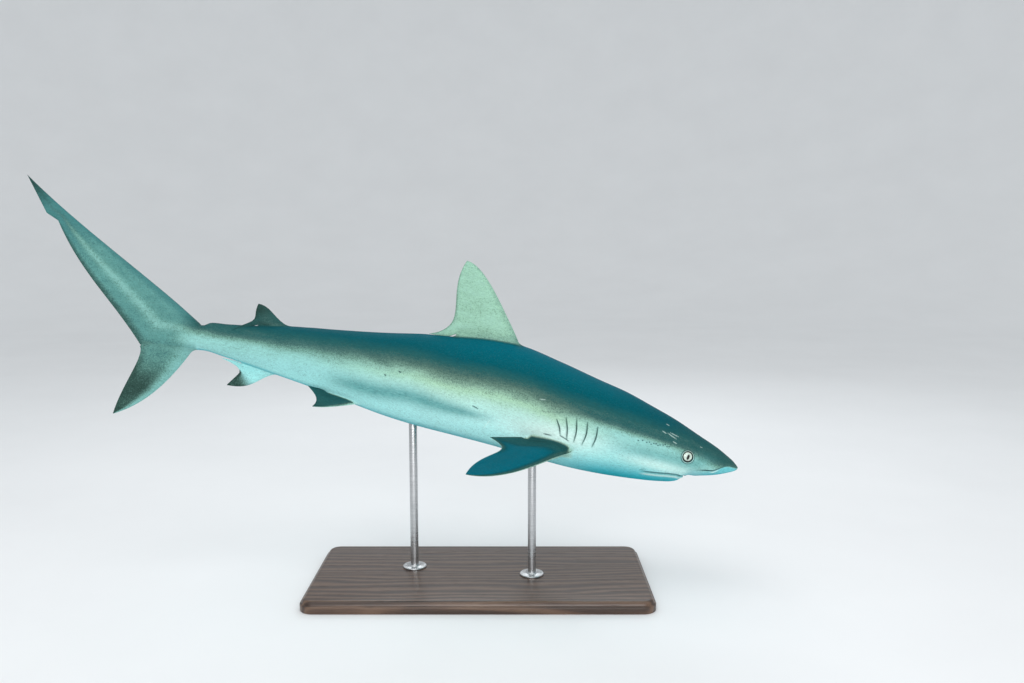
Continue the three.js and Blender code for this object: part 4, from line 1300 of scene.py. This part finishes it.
# %% The two eyeballs
EYE_RADIUS, EYE_DEPTH, EYE_PROUD = 16.0, 10.0, 3.0  # mm
EYE_COLUMNS, EYE_ROWS, CLOSE_ROWS = 72, 34, 20  # the rows before CLOSE_ROWS lie closer, over the iris


def circle(count, shift=0.0):
    """Cosine and sine of even turns round a circle."""
    around = 2 * np.pi * (np.arange(count) + shift) / count
    return np.cos(around), np.sin(around)


def fan(centre, ring, reverse=False):
    """Triangles from one point to a closed ring of points."""
    pairs = zip(ring, np.roll(ring, -1))
    return [(centre, b, a) if reverse else (centre, a, b) for a, b in pairs]


def eyeball(name, place, out, back_way, up):
    """A closed, flattened ball whose front stands a little proud of the skin."""
    row = np.arange(1, EYE_ROWS)
    dip = np.pi * (row / EYE_ROWS) ** np.where(row < CLOSE_ROWS, 1.1, 1.0)
    r = EYE_RADIUS * np.sin(dip)[:, None]
    cos, sin = circle(EYE_COLUMNS)
    w = np.broadcast_to(EYE_DEPTH * np.cos(dip)[:, None], (len(dip), EYE_COLUMNS))
    poles = np.array([[0, 0, EYE_DEPTH], [0, 0, -EYE_DEPTH]])
    local = np.concatenate([np.stack([r * cos, r * sin, w], -1).reshape(-1, 3), poles])
    offset = local + [0, 0, EYE_PROUD - EYE_DEPTH]
    made_at = bend(place + (offset[:, :1] * back_way + offset[:, 1:2] * up + offset[:, 2:] * out) / MM)
    rings = np.arange(len(dip) * EYE_COLUMNS).reshape(-1, EYE_COLUMNS)
    front, rear = len(local) - 2, len(local) - 1
    faces = strips(rings) + fan(front, rings[0], reverse=True) + fan(rear, rings[-1])
    if np.linalg.det([back_way, up, out]) < 0:
        faces = [face[::-1] for face in faces]
    piece = mesh_object(name, made_at, faces)
    set_attribute(piece, "eye_at", local)
    return piece


eyes = {side: eyeball("glass_eye_" + side, *EYES[side]) for side in EYES}
print({piece.name: len(piece.data.polygons) for piece in eyes.values()}, "faces")

# %% The eyes' paint
PUPIL_LEAN, PUPIL_HALF = 6, (3.0, 6.4)  # degrees from upright; half width and half height in mm
RIM_START, RIM_WIDER = 10.3, (-0.05, -0.085, 0)  # mm from the middle; wider below and towards the snout

eye_paint, tree, shader = new_material("glass_eye")
eye_at = attribute(tree, "eye_at", "Vector")
leaned = stretched(tree, eye_at, (1, 1, 0), (0, 0, -math.radians(PUPIL_LEAN)))
slit_place = vector_node(tree, "MULTIPLY", leaned, (1 / PUPIL_HALF[0], 1 / PUPIL_HALF[1], 0))
slit_distance = vector_node(tree, "LENGTH", slit_place, output="Value")
flat_place = vector_node(tree, "MULTIPLY", eye_at, (1, 1, 0))
radius = vector_node(tree, "LENGTH", flat_place, output="Value")
rays = node(tree, "ShaderNodeTexNoise", {
    "Vector": vector_node(tree, "NORMALIZE", flat_place), "Scale": 9.0, "Detail": 3.0}).outputs["Fac"]
mottle = use_group(tree, patch_group, Place=eye_at, Scale=0.35, Detail=3.0)[0]
colour = ramp(tree, math_node(tree, "MULTIPLY_ADD", mottle, 0.12, rays), [
    (0.25, (150, 172, 160)), (0.5, (196, 212, 200)), (0.75, (226, 236, 226))])
rim_reach = vector_node(tree, "DOT_PRODUCT", flat_place, RIM_WIDER, output="Value")
rim_reach = math_node(tree, "MULTIPLY_ADD", rim_reach, -1.2, RIM_START)
rim_share = spread(tree, math_node(tree, "SUBTRACT", radius, rim_reach), -0.7, 0.7)
colour = coats(tree, colour, [
    (spread(tree, slit_distance, 1.9, 1.0, 0, 0.45), (96, 112, 104)), (rim_share, (10, 18, 18)),
    (spread(tree, slit_distance, 1.12, 0.96), (2, 3, 3))])
feed(tree, shader, {
    "Base Color": colour, "Roughness": spread(tree, rays, 0.3, 0.7, 0.22, 0.38),
    "Specular IOR Level": 0.2, "Coat Weight": 0.5, "Coat Roughness": 0.05})
for piece in eyes.values():
    piece.data.materials.append(eye_paint)
print("pupil", [round(2 * half, 1) for half in PUPIL_HALF], "mm wide and high")

# %% [markdown]
# ## The display stand
# The board is a plank with a moulding cut round its upper edge, as a router leaves it. It is made as
# rings: one rounded rectangle, drawn again at each step of the moulding's profile. The rods and their
# feet are turned parts, so each is a profile carried round an axis.

# %% Helpers for the stand
def rounded_outline(length, width, corner, steps=10):
    made = []
    for k, (sx, sy) in enumerate([(1, 1), (-1, 1), (-1, -1), (1, -1)]):
        turn = np.linspace(0, np.pi / 2, steps + 1) + k * np.pi / 2
        centre = np.array([sx * (length / 2 - corner), sy * (width / 2 - corner)])
        made.append(centre + corner * np.stack([np.cos(turn), np.sin(turn)], 1))
    return np.concatenate(made)


def stacked(name, rings, sharp_over):
    """A closed piece from rings of points, lowest first, smooth but for edges over an angle."""
    numbers = np.arange(rings.shape[0] * rings.shape[1]).reshape(len(rings), -1)
    faces = strips(numbers) + [tuple(numbers[0][::-1]), tuple(numbers[-1])]
    return keep_edges(mesh_object(name, rings.reshape(-1, 3), faces), sharp_over)


def carried_round(profile, centre, turns):
    """Rings of points from a profile of radii and heights, carried round an upright axis."""
    cos, sin = circle(turns)
    return np.array([np.stack([centre[0] + r * cos, centre[1] + r * sin, np.full(turns, z)], 1)
                     for r, z in profile])


def keep_edges(piece, degrees):
    """Smooth shading that stays crisp at edges sharper than an angle."""
    piece.data.set_sharp_from_angle(angle=math.radians(degrees))
    return piece


def solid_box(name):
    """A plain solid's low corner, size and middle in plan."""
    low, high = (np.array(corner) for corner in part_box(name))
    return low, high - low, (low + high)[:2] / 2


# %% Board, rods and feet
BOARD_CORNER = 0.036  # m
MOULDING = [  # inset and height in mm
    (2, 0), (0.6, 0.6), (0, 2), (0, 17), (0.4, 18), (1.5, 18.8), (3.2, 19.2), (4.2, 20), (4.9, 22),
    (6.2, 25), (8.6, 27.8), (11.5, 29.4), (14.5, 30)]
FOOT_COLLAR = [  # mm past the rod, and share of the foot's height
    (8.5, 0.55), (6.2, 0.66), (5.0, 0.9), (4.2, 1.0), (0.5, 1.0)]

_, board_size, board_middle = solid_box("stand_base")
rings = []
for inset, height in MOULDING:
    outline = rounded_outline(*(board_size[:2] - inset / 500), BOARD_CORNER - inset / 1000)
    level = np.full(len(outline), board_size[2] * height / MOULDING[-1][1])
    rings.append(np.column_stack([outline + board_middle, level]))
board = stacked("display_board", np.array(rings), 35)

ROD_NAMES = ("front", "rear")
rods, feet = {}, {}
for name in ROD_NAMES:
    rod_low, rod_size, centre = solid_box("stand_rod_" + name)
    foot_low, foot_size, _ = solid_box("stand_flange_" + name)
    radius, top = rod_size[0] / 2, rod_low[2] + rod_size[2]
    z, h, r = foot_low[2], foot_size[2], foot_size[0] / 2
    rod_profile = [(radius - 0.001, z + 0.0005), (radius, z + 0.0015), (radius, top - 0.004),
                   (radius - 0.002, top + 0.003)]
    foot_profile = [(r - 0.0008, z - 0.0003), (r, z + 0.0006), (r, z + h * 0.34),
                    (r - 0.0012, z + h * 0.46)]
    foot_profile += [(radius + past / 1000, z + h * share) for past, share in FOOT_COLLAR]
    rods[name] = stacked("rod_" + name, carried_round(rod_profile, centre, 64), 30)
    feet[name] = stacked("rod_foot_" + name, carried_round(foot_profile, centre, 96), 25)
    print(name, "rod", round(2000 * radius, 1), "mm thick, foot", round(2000 * r, 1), "mm wide")

# %% [markdown]
# ## Screws in the feet
# Each foot is held by four screws set evenly on a circle: a thing that repeats by a rule, so Geometry
# Nodes place them. One slotted head is modelled, and the tree puts copies on the points of a circle,
# turns each by its own amount so that the slots don't line up, and joins them into one mesh.

# %% One screw head
SCREW_RADIUS, SCREW_RISE, SCREW_SUNK = 0.0041, 0.0016, 0.0008
SLOT_WIDTH, SLOT_DEPTH, SLOT_REACH = 0.0011, 0.0008, 0.95  # the reach is a share of the radius
SCREW_RINGS, SCREW_COLUMNS = (0.14, 0.3, 0.46, 0.62, 0.78, 0.92, 1.0), 24


def screw_head():
    """A low domed head with a straight slot, as a height map on rings of points."""
    share = np.array(SCREW_RINGS)[:, None]
    cos, sin = circle(SCREW_COLUMNS, 0.5)
    x, y = share * SCREW_RADIUS * cos, share * SCREW_RADIUS * sin
    dome = SCREW_RISE * (1 - 0.7 * share**2)
    cut = np.where(np.abs(y) < SLOT_WIDTH / 2, SLOT_DEPTH, 0) * (share < SLOT_REACH)
    top = np.stack([x, y, dome - cut], -1)
    foot = np.stack([x[-1], y[-1], np.full(SCREW_COLUMNS, -SCREW_SUNK)], -1)
    middles = [[0, 0, SCREW_RISE - SLOT_DEPTH], [0, 0, -SCREW_SUNK]]
    points = np.concatenate([top.reshape(-1, 3), foot, middles])
    rings = np.arange(len(points) - 2).reshape(-1, SCREW_COLUMNS)
    faces = [face[::-1] for face in strips(rings)]
    faces += fan(len(points) - 2, rings[0]) + fan(len(points) - 1, rings[-1], reverse=True)
    return keep_edges(mesh_object("one_screw", points, faces), 40)


screw = screw_head()
print("one screw has", len(screw.data.polygons), "faces")

# %% Brushed steel
steel_finish, tree, shader = new_material("brushed_steel")
object_place = node(tree, "ShaderNodeTexCoord").outputs["Object"]
lines = stretched(tree, object_place, (6, 6, 700))
brushed = use_group(tree, grain_group, Place=lines, Scale=1.0, Amount=1.0)["Grain"]
smudges = use_group(tree, patch_group, Place=object_place, Scale=16.0, Detail=3.0)[0]
sheen = spread(tree, math_node(tree, "MULTIPLY_ADD", smudges, 0.4, brushed), -1.4, 1.4)
roughness = math_node(tree, "MULTIPLY_ADD", brushed, 0.05, spread(tree, smudges, -1, 1, 0.26, 0.36))
feed(tree, shader, {
    "Base Color": ramp(tree, sheen, [(0.0, (166, 168, 170)), (1.0, (206, 207, 208))]),
    "Metallic": 1.0, "Roughness": roughness, "Normal": bumpy(tree, brushed, 0.15, 0.0002)})
print("steel has", len(tree.nodes), "nodes")

# %% The tree that sets screws on a ring
ring_tree = bpy.data.node_groups.new("screw_ring", "GeometryNodeTree")
RING_INPUTS = {"Centre": "Vector", "Ring Radius": "Float", "Count": "Int", "Seed": "Int",
               "Screw": "Object", "Finish": "Material"}
ring_sockets = {}
for label, kind in RING_INPUTS.items():
    socket = ring_tree.interface.new_socket(label, in_out="INPUT", socket_type="NodeSocket" + kind)
    ring_sockets[label] = socket.identifier
ring_tree.interface.new_socket("Geometry", in_out="OUTPUT", socket_type="NodeSocketGeometry")
given = ring_tree.nodes.new("NodeGroupInput").outputs
result = ring_tree.nodes.new("NodeGroupOutput")
ring = node(ring_tree, "GeometryNodeMeshCircle", {
    "Vertices": given["Count"], "Radius": given["Ring Radius"]})
moved = node(ring_tree, "GeometryNodeTransform", {
    "Geometry": ring.outputs[0], "Translation": given["Centre"]})
turn = node(ring_tree, "FunctionNodeRandomValue", {
    "Min": (0, 0, 0), "Max": (0, 0, math.pi), "Seed": given["Seed"]}, data_type="FLOAT_VECTOR")
source = node(ring_tree, "GeometryNodeObjectInfo", {"Object": given["Screw"]})
copies = node(ring_tree, "GeometryNodeInstanceOnPoints", {
    "Points": moved.outputs[0], "Instance": source.outputs["Geometry"], "Rotation": turn.outputs[0]})
joined = node(ring_tree, "GeometryNodeRealizeInstances", {"Geometry": copies.outputs[0]})
finished = node(ring_tree, "GeometryNodeSetMaterial", {
    "Geometry": joined.outputs[0], "Material": given["Finish"]})
feed(ring_tree, result, {"Geometry": finished.outputs[0]})
print("screw ring tree has", len(ring_tree.nodes), "nodes")

# %% The rings of screws
PLATE_SHARE = 0.455  # height of the foot's flat plate, as a share of the foot's
screws = {}
for number, name in enumerate(ROD_NAMES):
    foot_low, foot_size, middle = solid_box("stand_flange_" + name)
    holder = mesh_object("screw_ring_" + name, np.zeros((1, 3)), [])
    made_by = holder.modifiers.new("ring", "NODES")
    made_by.node_group = ring_tree
    settings = {"Centre": (*middle, foot_low[2] + PLATE_SHARE * foot_size[2]), "Ring Radius": 0.0255,
                "Count": 4, "Screw": screw, "Seed": 3 + number, "Finish": steel_finish}
    for label, value in settings.items():
        made_by[ring_sockets[label]] = value
    ready = holder.evaluated_get(bpy.context.evaluated_depsgraph_get())
    mesh = bpy.data.meshes.new_from_object(ready)
    holder.modifiers.remove(made_by)
    holder.data = mesh
    screws[name] = holder
    print(holder.name, len(mesh.polygons), "faces")
bpy.data.objects.remove(screw)

# %% [markdown]
# ## Stained wood
# The board is dark stained wood with a satin lacquer. Its grain follows the length of the plank:
# slow waves bend the growth lines, fine dark pores are drawn out along them, and the lacquer is a
# little less smooth over the pores. Edges that hands touch are rubbed slightly paler.

# %% Wood and steel on the stand
wood_finish, tree, shader = new_material("stained_wood")
object_place = node(tree, "ShaderNodeTexCoord").outputs["Object"]
plank = stretched(tree, object_place, (1.2, 9, 9))
sway = node(tree, "ShaderNodeTexNoise", {"Vector": plank, "Scale": 0.8, "Detail": 2.0}).outputs["Color"]
growth = node(tree, "ShaderNodeTexWave", {
    "Vector": vector_node(tree, "ADD", plank, sway), "Scale": 1.5, "Distortion": 5.0, "Detail": 3.0,
    "Detail Scale": 1.4}, wave_type="BANDS", bands_direction="Y").outputs["Fac"]
fibre_place = stretched(tree, object_place, (14, 420, 420))
fibres = use_group(tree, grain_group, Place=fibre_place, Scale=1.0, Amount=1.0)
grain_tone = math_node(tree, "MULTIPLY_ADD", fibres["Grain"], 0.16, growth)
colour = ramp(tree, grain_tone, [
    (0.0, (50, 36, 29)), (0.4, (68, 50, 40)), (0.75, (86, 65, 52)), (1.0, (100, 78, 63))])
pores = math_node(tree, "MULTIPLY", fibres["Specks"], 0.6)
rubbed = spread(tree, node(tree, "ShaderNodeNewGeometry").outputs["Pointiness"], 0.52, 0.62, 0, 0.35)
feed(tree, shader, {
    "Base Color": coats(tree, colour, [(pores, (34, 25, 21)), (rubbed, (122, 97, 80))]),
    "Roughness": spread(tree, fibres["Specks"], 0, 1, 0.32, 0.55),
    "Normal": bumpy(tree, grain_tone, 0.2, 0.0004)})
board.data.materials.append(wood_finish)
for piece in (*rods.values(), *feet.values()):
    piece.data.materials.append(steel_finish)
print("stand pieces:", 1 + len(rods) + len(feet) + len(screws))

# %% [markdown]
# ## Studio
# The model stands on a plain pale floor that curves up into a wall all round, so that no horizon
# shows. One large soft light comes from in front at the height of the eye and keeps the pale flank
# and belly clear, a second comes from above, and a third rims the back.

# %% Floor
FLOOR_FLAT, FLOOR_COLUMNS = 7, 96  # radius of the flat floor in m, and points round it
FLOOR_SUNK = 0.0004  # keeps the floor clear of the board's underside
rising = np.linspace(0, np.pi / 2, 24)[1:]
bowl = [(r, 0.0) for r in (0.5, 3, FLOOR_FLAT)]
bowl += [(FLOOR_FLAT * (1 + math.sin(a)), FLOOR_FLAT * (1 - math.cos(a))) for a in rising]
rings = carried_round(bowl, (0, 0), FLOOR_COLUMNS) - [0, 0, FLOOR_SUNK]
numbers = np.arange(len(bowl) * FLOOR_COLUMNS).reshape(-1, FLOOR_COLUMNS)
floor = mesh_object("studio_floor", rings.reshape(-1, 3), [tuple(numbers[0])] + strips(numbers[::-1]))
floor_paint, tree, shader = new_material("studio_floor")
object_place = node(tree, "ShaderNodeTexCoord").outputs["Object"]
mottle = spread(tree, use_group(tree, patch_group, Place=object_place, Scale=1.5, Detail=4.0)[0], -1, 1)
feed(tree, shader, {
    "Base Color": ramp(tree, mottle, [(0.0, (234, 235, 236)), (1.0, (238, 239, 240))]),
    "Roughness": 0.95, "Specular IOR Level": 0.1})
floor.data.materials.append(floor_paint)
print("floor has", len(floor.data.polygons), "faces")

# %% Daylight and lamps
LAMPS = {  # place, target, size, watts and colour
    "front": ((0.3, -5.4, 2.1), (0, 0, 0.5), (4.4, 2.4), 172, (1, 1, 1)),
    "top": ((-0.4, -1.2, 3.4), (0, 0, 0.5), (2.6, 1.8), 26, (1, 1, 1)),
    "rim": ((0.4, 2.6, 2.4), (0, 0, 0.6), (3.0, 1.0), 22, (0.92, 0.97, 1)),
}
world = bpy.data.worlds.new("studio")
world.use_nodes = True
daylight = world.node_tree.nodes["Background"]
feed(world.node_tree, daylight, {"Color": (0.80, 0.83, 0.85, 1), "Strength": 0.85})
bpy.context.scene.world = world
bpy.context.scene.view_settings.view_transform = "Standard"

for name, (place, target, size, watts, colour) in LAMPS.items():
    light = bpy.data.lights.new(name, "AREA")
    light.shape = "RECTANGLE"
    light.size, light.size_y = size
    light.energy = watts
    light.color = colour
    lamp = bpy.data.objects.new(name, light)
    lamp.location = place
    lamp.rotation_euler = (Vector(target) - Vector(place)).to_track_quat("-Z", "Y").to_euler()
    bpy.context.scene.collection.objects.link(lamp)
print("lamps:", list(LAMPS))

# %% [markdown]
# ## Tie every piece to the frame
# Nothing moves on this model, so every piece rides on the one body, and the plain solids that each
# piece stands for are hidden.

# %% Ride and replace
FLESH = (
    "head", "lower_jaw", "gill_region", "trunk_front", "trunk_rear", "tail_stalk", "dorsal_fin_first",
    "dorsal_fin_second", "anal_fin", "pectoral_fin_left", "pectoral_fin_right", "pelvic_fin_left",
    "pelvic_fin_right", "caudal_fin_upper", "caudal_fin_lower")
ties = [(skin, FLESH, "skin"), (board, ("stand_base",), "base_wood")]
ties += [(eyes[side], ("eye_" + side,), "eye") for side in eyes]
for name in ROD_NAMES:
    ties += [(rods[name], ("stand_rod_" + name,), "steel"),
             (feet[name], ("stand_flange_" + name,), "steel"), (screws[name], (), "steel")]
for piece, nodes, slot in ties:
    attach(piece, "root")
    if nodes:
        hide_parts(*nodes)
print(len(ties), "pieces tied")
